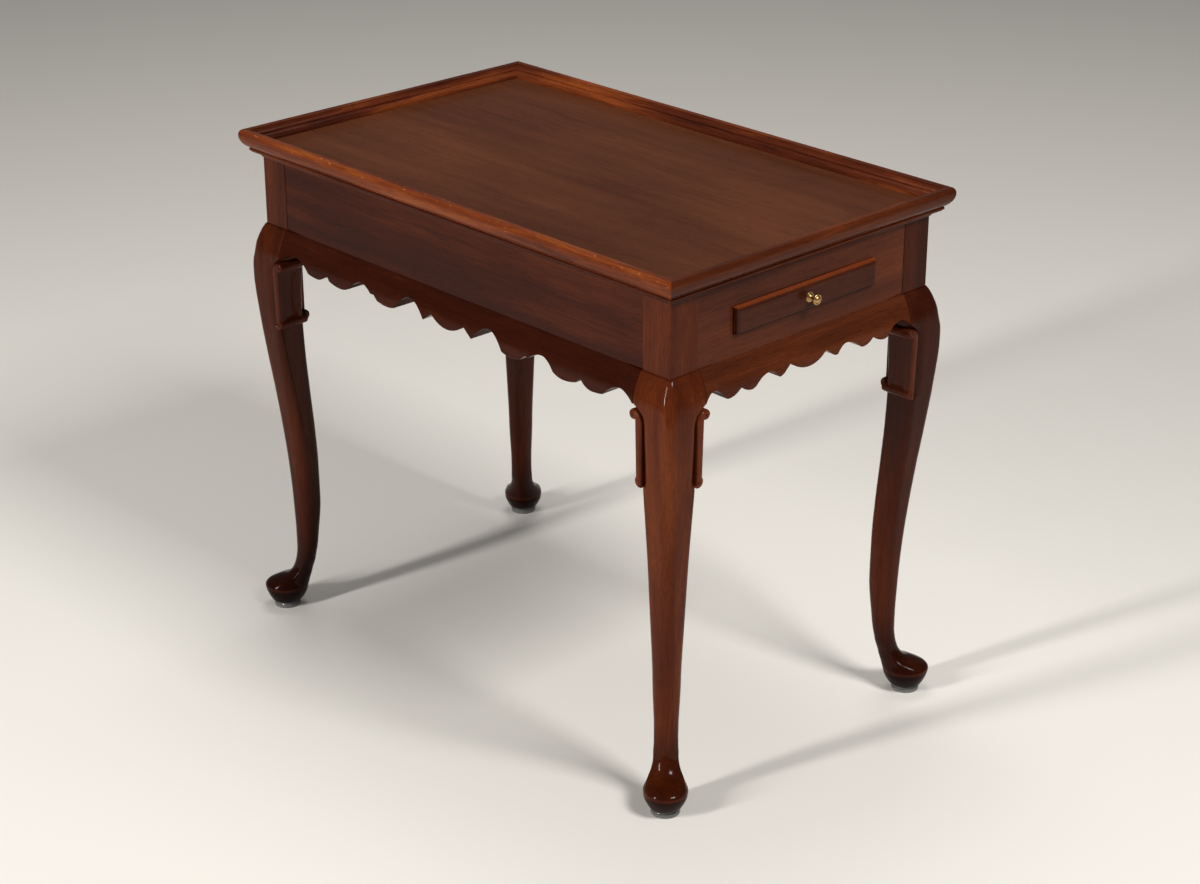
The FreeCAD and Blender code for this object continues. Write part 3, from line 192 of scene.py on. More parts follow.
def mahogany(name, along, seed, dark=MAHOGANY_DARK, middle=MAHOGANY_RED, light=MAHOGANY_ORANGE,
             figure=0.45, cloudy=0.6, roughness=LACQUER_ROUGHNESS, coat=COAT_WEIGHT):
    """Stained and lacquered mahogany with its grain along X, Y or Z."""
    material, tree, shader, place = fresh_finish(name)
    wander = add(tree, "ShaderNodeTexNoise", {"Vector": place, "Scale": 1000 / CLOUD_MM, "Detail": 2.0})
    drift = add(tree, "ShaderNodeVectorMath",
                {0: wander.outputs["Color"], 1: (0.5, 0.5, 0.5)}, operation="SUBTRACT")
    bent = add(tree, "ShaderNodeVectorMath",
               {0: drift.outputs[0], 1: (GRAIN_WANDER_MM / 1000,) * 3, 2: place},
               operation="MULTIPLY_ADD").outputs[0]
    ribbon = along_grain(tree, bent, along, RIBBON_LENGTH_MM, RIBBON_WIDTH_MM, 3.0, seed)
    fibre = along_grain(tree, bent, along, FIBRE_LENGTH_MM, FIBRE_WIDTH_MM, 4.0, seed + 3)
    pores = along_grain(tree, bent, along, PORE_LENGTH_MM, PORE_WIDTH_MM, 1.0, seed + 7)
    cloud = along_grain(tree, place, along, 2.5 * CLOUD_MM, CLOUD_MM, 2.0, seed + 11)
    middle_tone = 0.5 - (figure + cloudy + FIBRE_WEIGHT) / 2
    bands = add(tree, "ShaderNodeMath", {0: ribbon, 1: figure, 2: middle_tone}, operation="MULTIPLY_ADD")
    tone = add(tree, "ShaderNodeMath",
               {0: fibre, 1: FIBRE_WEIGHT, 2: bands.outputs[0]}, operation="MULTIPLY_ADD")
    patch = add(tree, "ShaderNodeMath", {0: cloud, 1: cloudy, 2: tone.outputs[0]}, operation="MULTIPLY_ADD")
    colour = add(tree, "ShaderNodeValToRGB", {"Fac": patch.outputs[0]},
                 stops=tuple(zip(TONE_STOPS, (dark, middle, light)))).outputs["Color"]
    open_pore = add(tree, "ShaderNodeValToRGB", {"Fac": pores}, stops=PORE_STOPS).outputs["Color"]
    wood = add(tree, "ShaderNodeMix", {0: PORE_STRENGTH, 6: colour, 7: open_pore},
               data_type="RGBA", blend_type="MULTIPLY")
    gloss = add(tree, "ShaderNodeMapRange",
                {0: cloud, 1: 0.3, 2: 0.7, 3: roughness - GLOSSIER, 4: roughness + DULLER})
    bump = add(tree, "ShaderNodeBump",
               {"Height": open_pore, "Strength": PORE_RELIEF, "Distance": PORE_DEPTH_MM / 1000})
    tree.links.new(wood.outputs[2], shader.inputs["Base Color"])
    tree.links.new(gloss.outputs[0], shader.inputs["Roughness"])
    tree.links.new(bump.outputs[0], shader.inputs["Normal"])
    shader.inputs["IOR"].default_value = LACQUER_IOR
    shader.inputs["Specular IOR Level"].default_value = LACQUER_SPECULAR
    shader.inputs["Coat Weight"].default_value = coat
    shader.inputs["Coat Roughness"].default_value = COAT_ROUGHNESS
    return material


def finish_node(node, material):
    """Gives a CAD node its finish."""
    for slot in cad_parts[node].material_slots:
        slot.material = material


def smooth_value(stations, place, column):
    """A column of a table at a place between its rows, on a smooth curve that never overshoots."""
    knots = [row[0] for row in stations]
    place = min(max(place, knots[0]), knots[-1])
    at = min(max(bisect.bisect_right(knots, place) - 1, 0), len(knots) - 2)
    rises = []
    for row, after in zip(stations[max(at - 1, 0):at + 2], stations[max(at, 1):at + 3]):
        rises.append((after[column] - row[column]) / (after[0] - row[0]))
    own = rises[0 if at == 0 else 1]
    before = own if at == 0 else rises[0]
    later = rises[-1] if at + 2 < len(knots) else own
    start = 0.0 if before * own <= 0 else 2 * before * own / (before + own)
    end = 0.0 if later * own <= 0 else 2 * later * own / (later + own)
    width = knots[at + 1] - knots[at]
    t = (place - knots[at]) / width
    low, high = stations[at][column], stations[at + 1][column]
    return (low * (2 * t ** 3 - 3 * t ** 2 + 1) + high * (3 * t ** 2 - 2 * t ** 3)
            + width * (start * (t ** 3 - 2 * t ** 2 + t) + end * (t ** 3 - t ** 2)))


def leg_section(out, back, arris, side, inner):
    """A square with four rounded corners about the post's axis, its outer faces towards +X and -Y."""
    corners = ((out, -out, -1, 1, arris, -90), (out, back, -1, -1, side, 0),
               (-back, back, 1, -1, inner, 90), (-back, -out, 1, 1, side, 180))
    width = out + back
    points = []
    for number, (x, y, way_x, way_y, share, start) in enumerate(corners):
        radius = share * width
        arc = []
        for step in range(ARC_STEPS + 1):
            angle = math.radians(start + 90 * step / ARC_STEPS)
            arc.append((x + way_x * radius + radius * math.cos(angle),
                        y + way_y * radius + radius * math.sin(angle)))
        if points:
            last = points[-1]
            points += [(last[0] + (arc[0][0] - last[0]) * step / SIDE_STEPS,
                        last[1] + (arc[0][1] - last[1]) * step / SIDE_STEPS) for step in range(1, SIDE_STEPS)]
        points += arc
    last, first = points[-1], points[0]
    return points + [(last[0] + (first[0] - last[0]) * step / SIDE_STEPS,
                      last[1] + (first[1] - last[1]) * step / SIDE_STEPS) for step in range(1, SIDE_STEPS)]


def carve_sole(points, height, out, back):
    """Draws the points of a section in to the oval of the sole, with a softened edge."""
    middle, length, width = (smooth_value(SOLE_STATIONS, height, column) for column in (1, 2, 3))
    root = math.sqrt(0.5)
    centre = (out - back) * root
    carved = []
    for x, y in points:
        along, across = (x - y) * root - centre, (x + y) * root
        offset = centre - middle
        a = (along / length) ** 2 + (across / width) ** 2
        b = 2 * along * offset / length ** 2
        c = (offset / length) ** 2 - 1
        reach = (-b + math.sqrt(max(b * b - 4 * a * c, 0.0))) / (2 * a)
        soft = SOLE_EDGE / math.hypot(along, across)
        blend = max(soft - abs(1 - reach), 0.0) / soft
        reach = min(1.0, reach) - blend ** 2 * soft / 4
        along, across = centre + along * reach, across * reach
        carved.append(((along + across) * root, (across - along) * root))
    return carved


def leg_rows():
    """The outlines of a leg from the pad under its foot to the top of its post."""
    heights = [GLIDE_TOP]
    while heights[-1] < KNEE_TOP - LEDGE_ROUNDING:
        last = heights[-1]
        step = FOOT_STEP if last < FOOT_END else SHAFT_STEP if last < SHAFT_END else KNEE_STEP
        heights.append(last + step)
    heights[-1] = KNEE_TOP - LEDGE_ROUNDING
    rows = []
    for height in heights:
        out, back, arris, side, inner = (smooth_value(LEG_STATIONS, height, column) for column in range(1, 6))
        points = leg_section(out, back, arris, side, inner)
        if height < SOLE_TOP:
            points = carve_sole(points, height, out, back)
        rows.append([(x, y, height) for x, y in points])
    out, back, arris, side, inner = LEG_STATIONS[-1][1:]
    for share in LEDGE_SHARES:
        inset = LEDGE_ROUNDING * (1 - math.cos(share * math.pi / 2))
        height = KNEE_TOP - LEDGE_ROUNDING * (1 - math.sin(share * math.pi / 2))
        rows.append([(x, y, height) for x, y in leg_section(out - inset, back, arris, side, inner)])
    for height in (KNEE_TOP, FRAME_TOP):
        post = leg_section(HALF_POST, HALF_POST, POST_EASING, POST_EASING, POST_INNER_EASING)
        rows.append([(x, y, height) for x, y in post])
    return rows


def skin(rows):
    """Points and faces of a closed skin over rows of equal loops, with both ends capped."""
    count = len(rows[0])
    points = [point for row in rows for point in row]
    faces = []
    for row in range(len(rows) - 1):
        for here in range(count):
            after = (here + 1) % count
            faces.append((row * count + here, row * count + after,
                          (row + 1) * count + after, (row + 1) * count + here))
    faces.append(tuple(reversed(range(count))))
    faces.append(tuple(range((len(rows) - 1) * count, len(rows) * count)))
    return points, faces


def piece(name, shells, material, body, slot, *nodes, crease=CREASE):
    """One piece from shells of points in millimetres, riding on a body in place of CAD nodes."""
    points, faces = [], []
    for shell_points, shell_faces in shells:
        first = len(points)
        points += [(x / 1000, y / 1000, z / 1000) for x, y, z in shell_points]
        faces += [tuple(first + index for index in face) for face in shell_faces]
    mesh = bpy.data.meshes.new(name)
    mesh.from_pydata(points, [], faces)
    mesh.validate()
    mesh.materials.append(material)
    mesh.shade_smooth()
    mesh.set_sharp_from_angle(angle=crease)
    made = bpy.data.objects.new(name, mesh)
    bpy.context.scene.collection.objects.link(made)
    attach(made, body)
    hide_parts(*nodes)
    return made


def turned(points, turn, x=0.0, y=0.0):
    """Points turned about Z by quarter turns and moved."""
    cosine, sine = {0: (1, 0), 90: (0, 1), 180: (-1, 0), 270: (0, -1)}[turn]
    return [(x + cosine * a - sine * b, y + sine * a + cosine * b, c) for a, b, c in points]


def post_axis(turn):
    """Where the post's axis is at the corner that a turn gives."""
    return (POST_X if turn in (0, 90) else -POST_X), (POST_Y if turn in (90, 180) else -POST_Y)


# The feet are painted darker towards the floor as painted shade, darkest where they turn under,
# with a thin lighter line along the edge between them as a painted highlight.
FOOT_SHADE = ((0.12, "#6e4a3c"), (0.250, "#7c5545"), (0.266, "#e6cfc0"), (0.278, "#e6cfc0"),
              (0.300, "#a89f98"), (0.60, "#b9b0a9"), (1.0, "#ffffff"))
FOOT_SHADE_MM = 110.0


def paint_foot_shade(material):
    """Paints shade into the colour towards the floor, with a painted highlight line along the foot's edge."""
    tree = material.node_tree
    shader = tree.nodes["Principled BSDF"]
    place = add(tree, "ShaderNodeTexCoord").outputs["Object"]
    height = add(tree, "ShaderNodeSeparateXYZ", {"Vector": place}).outputs["Z"]
    share = add(tree, "ShaderNodeMath", {0: height, 1: 1000 / FOOT_SHADE_MM}, operation="MULTIPLY").outputs[0]
    shade = add(tree, "ShaderNodeValToRGB", {"Fac": share}, stops=FOOT_SHADE).outputs["Color"]
    colour = shader.inputs["Base Color"].links[0].from_socket
    shaded = add(tree, "ShaderNodeMix", {0: 1.0, 6: colour, 7: shade},
                 data_type="RGBA", blend_type="MULTIPLY")
    tree.links.new(shaded.outputs[2], shader.inputs["Base Color"])
    return material


LEG_TONES = {
    # dark, usual and light; the front right leg is lightest, back left between, front left and back right
    # darkest
    "front_right": ("#35120a", "#4f200b", "#703513"),
    "back_right": ("#260b05", "#371306", "#52220b"),
    "back_left": ("#301009", "#461b0b", "#663012"),
    "front_left": ("#260b05", "#371306", "#52220b"),
}
leg_points, leg_faces = skin(leg_rows())
for number, (corner, turn) in enumerate(CORNERS.items()):
    # Each leg's colour gets painted shade towards the floor and a painted highlight line at the foot's edge.
    piece("cabriole_leg_" + corner, [(turned(leg_points, turn, *post_axis(turn)), leg_faces)],
          paint_foot_shade(mahogany("leg_mahogany_" + corner, "Z", 2.0 + 5 * number, *LEG_TONES[corner])),
          "table", "mahogany", "leg_" + corner)


# ---------------------------------------------------------------------------
# Ears. Small scrolls carved in separate blocks of the same mahogany and
# glued to the leg below each apron. A volute curls out at the top, a roll
# ends it below, and the side between them is worked slightly hollow.
# ---------------------------------------------------------------------------

EAR_DEPTH = 37.5
EAR_FRONT = ((429.0, 38.0), (511.0, 39.3))    # height, how far it reaches from the post's axis
VOLUTE = (-20.5, 511.0, 6.3)     # across from the post's axis, height, radius
CROOK = (-6.4, 503.0)            # across and height, where the band starts to hook over
ROLL = (-11.0, 429.4, 7.6)       # as for the volute
INNER_FOOT = 426                 # where the side against the leg starts
INNER_STEP = 4
INNER_SLANT = 1.6 / 75           # how that side leans out from the crook down
STEM_FOOT_ANGLE = 138.0          # where the stem leaves the roll
HOOK_STEPS, CURL_STEPS, STEM_STEPS, ROLL_STEPS = 10, 20, 12, 16
EAR_HOLLOW = 1.5
HOLLOW_START, HOLLOW_LENGTH = 0.06, 0.9    # as shares of the depth
EAR_LAYERS = (
    # share of the depth behind the front, how far its outline is drawn in
    (1.0, 1.4), (0.993, 0.7), (0.98, 0.2), (0.96, 0.0), (0.8, 0.0), (0.65, 0.0), (0.5, 0.0), (0.35, 0.0),
    (0.2, 0.0), (0.1, 0.0), (0.06, 0.05), (0.038, 0.3), (0.02, 0.75), (0.008, 1.35), (0.0, 2.1),
)
EYE_PROFILE = ((-1.5, 2.5), (0.2, 2.45), (0.8, 2.1), (1.2, 1.4), (1.35, 0.5))    # depth, radius
EYES = ((-21.8, 511.0), (-12.4, 429.6))    # the button in the volute and in the roll
ROLL_END = ((30.0, 7.3), (43.6, 7.3), (44.8, 7.0), (45.6, 6.2), (46.0, 5.0))    # depth, radius
SPUN_STEPS = 48


def arc_points(middle, height, radius, start, end, steps):
    """Points on an arc in an upright plane, and no weight of hollow."""
    points = []
    for step in range(steps + 1):
        angle = math.radians(start + (end - start) * step / steps)
        points.append((middle + radius * math.cos(angle), height + radius * math.sin(angle), 0.0))
    return points


def ear_outline():
    """The scroll seen from the front: across, height and how much of the hollow it takes."""
    inner = [(CROOK[0] - INNER_SLANT * (CROOK[1] - height), height, 0.0)
             for height in range(INNER_FOOT, int(CROOK[1]), INNER_STEP)]
    hook = []
    for step in range(HOOK_STEPS):
        angle = math.pi / 2 * step / HOOK_STEPS
        hook.append((VOLUTE[0] + (CROOK[0] - VOLUTE[0]) * math.cos(angle),
                     CROOK[1] + (VOLUTE[1] + VOLUTE[2] - CROOK[1]) * math.sin(angle), 0.0))
    curl = arc_points(*VOLUTE, 90, 300, CURL_STEPS)
    roll = arc_points(*ROLL, STEM_FOOT_ANGLE, 320, ROLL_STEPS)
    (x, z, _), (foot_x, foot_z, _) = curl[-1], roll[0]
    stem = []
    for step in range(1, STEM_STEPS):
        share = step / STEM_STEPS
        stem.append((x + (foot_x - x) * share, z + (foot_z - z) * share, math.sin(math.pi * share) ** 0.5))
    return inner + hook + curl + stem + roll


def drawn_in(outline, distance):
    """The outline moved inwards by a distance."""
    moved = []
    for index, (x, z, share) in enumerate(outline):
        before, after = outline[index - 1], outline[(index + 1) % len(outline)]
        step = Vector((after[0] - before[0], after[1] - before[1])).normalized()
        moved.append((x - step.y * distance, z + step.x * distance, share))
    return moved


def ear_shell():
    """A scroll on the long apron's side of the front right leg."""
    outline = ear_outline()
    rows = []
    for back, inset in EAR_LAYERS:
        bend = math.sin(math.pi * min(max((back - HOLLOW_START) / HOLLOW_LENGTH, 0.0), 1.0))
        rows.append([(x + EAR_HOLLOW * bend * share,
                      back * EAR_DEPTH - smooth_value(EAR_FRONT, z, 1), z)
                     for x, z, share in drawn_in(outline, inset)])
    return skin(rows)


def spun(profile):
    """A turned shell about +Z through (height, radius)."""
    rows = []
    for height, radius in profile:
        turn = [2 * math.pi * step / SPUN_STEPS for step in range(SPUN_STEPS)]
        rows.append([(radius * math.cos(angle), radius * math.sin(angle), height) for angle in turn])
    return skin(rows)


eye_points, eye_faces = spun(EYE_PROFILE)
ear_shells = [ear_shell()]
for x, z in EYES:
    front = -smooth_value(EAR_FRONT, z, 1)
    ear_shells.append(([(a + x, front - c, b + z) for a, b, c in eye_points], eye_faces))
roll_points, roll_faces = spun(ROLL_END)
roll_front = smooth_value(EAR_FRONT, ROLL[1], 1)
ear_shells.append(([(ROLL[0] - a, c - roll_front, ROLL[1] + b) for a, b, c in roll_points], roll_faces))
# The front right ears get lighter tones than the rest.
ear_mahogany = mahogany("ear_mahogany", "Z", 31.0, middle="#5c2812", light="#783a1a")
dark_ear_mahogany = mahogany("dark_ear_mahogany", "Z", 35.0, middle="#43190b", light="#5c2a12")
for corner, turn in CORNERS.items():
    ear_wood = ear_mahogany if corner == "front_right" else dark_ear_mahogany
    under_long, under_end = ("long", "end") if turn in (0, 180) else ("end", "long")
    axis = post_axis(turn)
    own_shells = [(turned(points, turn, *axis), faces) for points, faces in ear_shells]
    mirror_shells = [(turned([(-y, -x, z) for x, y, z in points], turn, *axis),
                      [tuple(reversed(face)) for face in faces]) for points, faces in ear_shells]
    for side, shells in ((under_long, own_shells), (under_end, mirror_shells)):
        piece("scroll_ear_%s_%s" % (corner, side), shells, ear_wood, "table", "mahogany",
              "ear_%s_%s" % (corner, side))


# ---------------------------------------------------------------------------
# Aprons. Thick mahogany rails tenoned into the posts, upright above a small
# ledge and flared below it, each with its lower edge sawn into lobes, arches
# and cusps. The two ends are slotted for the slides.
# ---------------------------------------------------------------------------

FACE_X, FACE_Y = 374.0, 220.5    # the posts' outer faces
SPAN_X, SPAN_Y = 330.0, 176.5    # half the length between the posts
SKIRT_SETBACK, SKIRT_BACK = 1.0, 22.0    # behind those faces
SKIRT_DEPTH = 46.0
KNEE_DEPTH = 50.0
SKIRT_TURN = 45.0
JOINT_GAP = 0.25
LEDGE_EASING = 0.4
SAWN_EASING, SAWN_CHAMFER = 0.7, 0.8
SLOT = (113.5, 596.2, 612.8)     # half width, lower and upper side
SKIRT_SWEEP = (
    # distance from the leg, ledge and flare beyond the posts' faces
    (0.0, 2.5, 17.5),
    (15.0, 1.3, 15.0),
    (30.0, -0.4, 12.2),
    (SKIRT_TURN, -0.95, 11.5),
)
LONG_SKIRT = (
    # share of the half length, share of the depth, edge to the next
    (0.0000, 0.917, "lobe"), (0.0909, 0.674, "line"), (0.1364, 0.900, "arch"), (0.2242, 0.478, "arch"),
    (0.3061, 0.913, "lobe"), (0.3485, 0.967, "lobe"), (0.4061, 0.913, "line"), (0.4273, 0.783, "line"),
    (0.4485, 0.783, "arch"), (0.5121, 0.598, "arch"), (0.5818, 0.902, "lobe"), (0.6333, 0.996, "lobe"),
    (0.7000, 0.913, "line"), (0.7182, 0.761, "lobe"), (0.7788, 0.989, "lobe"), (0.8333, 0.946, "arch"),
    (0.9212, 0.609, "arch"), (1.0000, 0.804, "line"),
)
END_SKIRT = (
    (0.0000, 0.902, "lobe"), (0.1756, 0.652, "line"), (0.2436, 0.841, "lobe"), (0.2833, 0.883, "arch"),
    (0.3796, 0.663, "arch"), (0.4986, 0.848, "lobe"), (0.5496, 0.935, "lobe"), (0.6487, 0.772, "lobe"),
    (0.7592, 0.946, "lobe"), (0.7932, 0.913, "arch"), (0.9235, 0.587, "arch"), (1.0000, 0.739, "line"),
)
CURVE_STEPS = 8
FLARE_STEPS = 10


def sawn_edge(half_length, skirt):
    """The lower edge from the middle to one end, as (distance, height)."""
    edge = []
    for (share, depth, kind), (next_share, next_depth, _) in zip(skirt, skirt[1:]):
        steps = 1 if kind == "line" else CURVE_STEPS
        level_first = (kind == "lobe") == (depth > next_depth)
        for step in range(steps):
            along = step / steps
            bend = along if kind == "line" else along ** 2 if level_first else 1 - (1 - along) ** 2
            edge.append(((share + along * (next_share - share)) * half_length,
                         KNEE_TOP - (depth + bend * (next_depth - depth)) * SKIRT_DEPTH))
    edge.append((half_length, KNEE_TOP - skirt[-1][1] * SKIRT_DEPTH))
    return edge


def skirt_shell(half_length, face, skirt):
    """The flared part of an apron along the front, below the ledge."""
    edge = sawn_edge(half_length, skirt)
    rows = []
    for x, low in [(-x, low) for x, low in reversed(edge)] + edge[1:]:
        ledge, flare = (smooth_value(SKIRT_SWEEP, half_length - abs(x), column) for column in (1, 2))
        radius = (KNEE_DEPTH ** 2 + (flare - ledge) ** 2) / (2 * (flare - ledge))
        row = [(x, SKIRT_BACK - face, KNEE_TOP), (x, LEDGE_EASING - face - ledge, KNEE_TOP)]
        drop = KNEE_TOP - LEDGE_EASING - low - SAWN_EASING
        for step in range(FLARE_STEPS + 1):
            height = KNEE_TOP - LEDGE_EASING - drop * step / FLARE_STEPS
            rise = height - KNEE_TOP + KNEE_DEPTH
            row.append((x, -(face + flare - radius + math.sqrt(radius ** 2 - rise ** 2)), height))
        row += [(x, row[-1][1] + SAWN_CHAMFER, low), (x, SKIRT_BACK - face, low)]
        reach = half_length - JOINT_GAP
        rows.append([(min(max(a, -reach), reach), b, c) for a, b, c in row])
    return skin(rows)


def rail_shell(half_length, face, slot):
    """The upright part of an apron along the front, with its slot if it has one."""
    front, back = SKIRT_SETBACK - face, SKIRT_BACK - face
    half, low, high = slot or (half_length / 2, 600.0, 600.0)
    outer = ((-half_length, KNEE_TOP), (half_length, KNEE_TOP),
             (half_length, FRAME_TOP), (-half_length, FRAME_TOP))
    inner = ((-half, low), (half, low), (half, high), (-half, high))
    points = [(x, y, z) for y in (front, back) for loop in (outer, inner) for x, z in loop]
    if not slot:
        return points[:4] + points[8:12], [(0, 1, 2, 3), (7, 6, 5, 4), (0, 4, 5, 1), (1, 5, 6, 2),
                                           (2, 6, 7, 3), (3, 7, 4, 0)]
    faces = []
    for here in range(4):
        after = (here + 1) % 4
        faces.append((here, after, 4 + after, 4 + here))
        faces.append((8 + after, 8 + here, 12 + here, 12 + after))
        faces.append((here, 8 + here, 8 + after, after))
        faces.append((4 + here, 4 + after, 12 + after, 12 + here))
    return points, faces


APRONS = (
    # side, its turn, half length, face, sawn edge, slot, grain, dark, middle and light tone
    ("front", 0, SPAN_X, FACE_Y, LONG_SKIRT, None, "X", "#240a04", "#331106", "#50210a"),
    ("right", 90, SPAN_Y, FACE_X, END_SKIRT, SLOT, "Y", "#32140b", "#4c2210", "#633018"),
    ("back", 180, SPAN_X, FACE_Y, LONG_SKIRT, None, "X", "#240a04", "#331106", "#50210a"),
    ("left", 270, SPAN_Y, FACE_X, END_SKIRT, SLOT, "Y", "#32140b", "#4c2210", "#633018"),
)
for number, (side, turn, half_length, face, skirt, slot, along, dark, middle, light) in enumerate(APRONS):
    shells = [rail_shell(half_length, face, slot), skirt_shell(half_length, face, skirt)]
    piece("scalloped_apron_" + side, [(turned(points, turn), faces) for points, faces in shells],
          mahogany("apron_mahogany_" + side, along, 41.0 + 6 * number, dark, middle, light, figure=0.6),
          "table", "mahogany", "apron_" + side)


# ---------------------------------------------------------------------------
# Inner wood. Guide rails, cleats and corner blocks of plain poplar, planed
# and left bare inside the frame, pale and a little green.
# ---------------------------------------------------------------------------

# Bare poplar, planed. The eye gets a pale, dull, slightly green wood with faint
# straight fibres.
POPLAR_PALE = "#c9b48c"
POPLAR_DARK = "#a58d63"
POPLAR_FIBRE_MM = (160.0, 3.0)   # drawn five times as coarse as it is, to show


def poplar(name, along, seed):
    """Bare planed poplar with its grain along X, Y or Z."""
    material, tree, shader, place = fresh_finish(name)
    fibre = along_grain(tree, place, along, *POPLAR_FIBRE_MM, 4.0, seed)
    colour = add(tree, "ShaderNodeValToRGB", {"Fac": fibre}, stops=((0.35, POPLAR_DARK), (0.65, POPLAR_PALE)))
    tree.links.new(colour.outputs["Color"], shader.inputs["Base Color"])
    bump = add(tree, "ShaderNodeBump", {"Height": fibre, "Strength": 0.2, "Distance": 0.0001})
    tree.links.new(bump.outputs[0], shader.inputs["Normal"])
    shader.inputs["Roughness"].default_value = 0.75
    return material


rail_poplar = poplar("rail_poplar", "X", 4.0)
block_poplar = poplar("block_poplar", "Z", 9.0)
for node in ("guide_rail_front", "guide_rail_back", "cleat_front", "cleat_back"):
    finish_node(node, rail_poplar)
for corner in CORNERS:
    finish_node("corner_block_" + corner, block_poplar)


# ---------------------------------------------------------------------------
# Top board. A flat mahogany panel that lies in the rim as the floor of the
# tray, screwed up from below. It is browner than the frame and its lacquer
# has gone a little dull.
# ---------------------------------------------------------------------------

# The same mahogany and lacquer, but browner and duller: wide soft lights, and a
# quiet figure.
finish_node("tray_board", mahogany("tray_board_mahogany", "X", 67.0, dark="#3c1d11", middle="#4f2a19",
                                   light="#603521", figure=0.35, cloudy=0.6, roughness=0.32, coat=0.10))


# ---------------------------------------------------------------------------
# Top screws. Zinc plated steel wood screws, turned up through the cleats and
# corner blocks into the board from inside the frame.
# ---------------------------------------------------------------------------

# Zinc plated steel: a plain light grey with a soft, slightly uneven shine.
ZINC_GREY = "#9a9a98"
METAL_TARNISH = "#cdbfa8"        # thin warm patches


def plain_metal(name, colour, roughness, grain_mm):
    """A metal whose polish varies a little over the surface."""
    material, tree, shader, place = fresh_finish(name)
    mottle = add(tree, "ShaderNodeTexNoise", {"Vector": place, "Scale": 1000 / grain_mm, "Detail": 4.0})
    gloss = add(tree, "ShaderNodeMapRange", {0: mottle.outputs["Fac"], 1: 0.3, 2: 0.7,
                                             3: roughness * 0.8, 4: roughness * 1.25})
    shade = add(tree, "ShaderNodeMix", {0: mottle.outputs["Fac"], 6: rgb(colour), 7: rgb(METAL_TARNISH)},
                data_type="RGBA", blend_type="MULTIPLY")
    tree.links.new(shade.outputs[2], shader.inputs["Base Color"])
    tree.links.new(gloss.outputs[0], shader.inputs["Roughness"])
    shader.inputs["Metallic"].default_value = 1.0
    return material


zinc_steel = plain_metal("zinc_steel", ZINC_GREY, 0.4, 3.0)
finish_node("top_screws", zinc_steel)


# ---------------------------------------------------------------------------
# Rim. Four mitred mahogany mouldings round the board, worked with a thumb
# nail outside and a step, a hollow and a round inside. The front one is worn
# pale in small nicks along its edge.
# ---------------------------------------------------------------------------

# The front rim has lighter, more orange tones than the other three: painted light, for the face that is
# turned to the key lamp.
RIMS = (
    # side, grain, dark, middle and light tone
    ("front", "X", "#3a160b", "#6a3016", "#94501f"), ("back", "X", "#2b0f08", "#4f2110", "#8a431b"),
    ("right", "Y", "#34140a", "#4d210d", "#733616"), ("left", "Y", "#2b0f08", "#4f2110", "#8a431b"),
)
# Lacquer chipped from an edge: short pale marks of bare orange wood.
WORN_WOOD = "#9c5c35"
NICK_MM = 3.5
NICK_STRETCH = 0.35              # nicks are longer along X by one over this


def wear_and_painted_light_edge(material, low, high, worn_and_lit_colour, amount, breakup, start, end):
    """Lets a colour through towards the upper of two heights, broken up by noise: real wear in nicks on the
    rim, and a painted highlight on the slide fronts.
    """
    tree = material.node_tree
    shader = tree.nodes["Principled BSDF"]
    place = add(tree, "ShaderNodeTexCoord").outputs["Object"]
    height = add(tree, "ShaderNodeSeparateXYZ", {"Vector": place}).outputs["Z"]
    near = add(tree, "ShaderNodeMapRange", {0: height, 1: low / 1000, 2: high / 1000, 3: 0.0, 4: amount})
    scaled = add(tree, "ShaderNodeMapping", {"Vector": place, "Scale": (NICK_STRETCH, 1.0, 1.0)})
    edge_noise = add(tree, "ShaderNodeTexNoise",
                {"Vector": scaled.outputs["Vector"], "Scale": 1000 / NICK_MM, "Detail": 2.0})
    both = add(tree, "ShaderNodeMath",
               {0: edge_noise.outputs["Fac"], 1: breakup, 2: near.outputs[0]}, operation="MULTIPLY_ADD")
    mask = add(tree, "ShaderNodeMapRange", {0: both.outputs[0], 1: start, 2: end})
    colour = shader.inputs["Base Color"].links[0].from_socket
    worn_and_lit = add(tree, "ShaderNodeMix", {0: mask.outputs[0], 6: colour, 7: rgb(worn_and_lit_colour)}, data_type="RGBA")
    tree.links.new(worn_and_lit.outputs[2], shader.inputs["Base Color"])
    return material


for number, (side, along, dark, middle, light) in enumerate(RIMS):
    rim_mahogany = mahogany("rim_mahogany_" + side, along, 71.0 + 4 * number, dark, middle, light, figure=0.9)
    if side == "front":
        wear_and_painted_light_edge(rim_mahogany, low=668.0, high=682.0, worn_and_lit_colour=WORN_WOOD,
                  amount=0.16, breakup=1.0, start=0.82, end=0.90)
    finish_node("rim_" + side, rim_mahogany)


# ---------------------------------------------------------------------------
# Bed mouldings. Thin strips of the same mahogany, worked with a bead and a
# cove, mitred, and planted under the rim against the frame.
# ---------------------------------------------------------------------------

for number, (side, along) in enumerate((("front", "X"), ("back", "X"), ("right", "Y"), ("left", "Y"))):
    finish_node("bed_moulding_" + side, mahogany("bed_mahogany_" + side, along, 91.0 + 4 * number))


# ---------------------------------------------------------------------------
# Slides. A mahogany board in each end that pulls out to hold a candlestick
# or a cup, with a flat front planted on its end and two pegs as stops.
# ---------------------------------------------------------------------------

SLIDE_TOP_PAINTED_LIGHT = "#7d3a1c"          # a lighter line painted along the front's top edge: painted light, for the light that falls on it from above

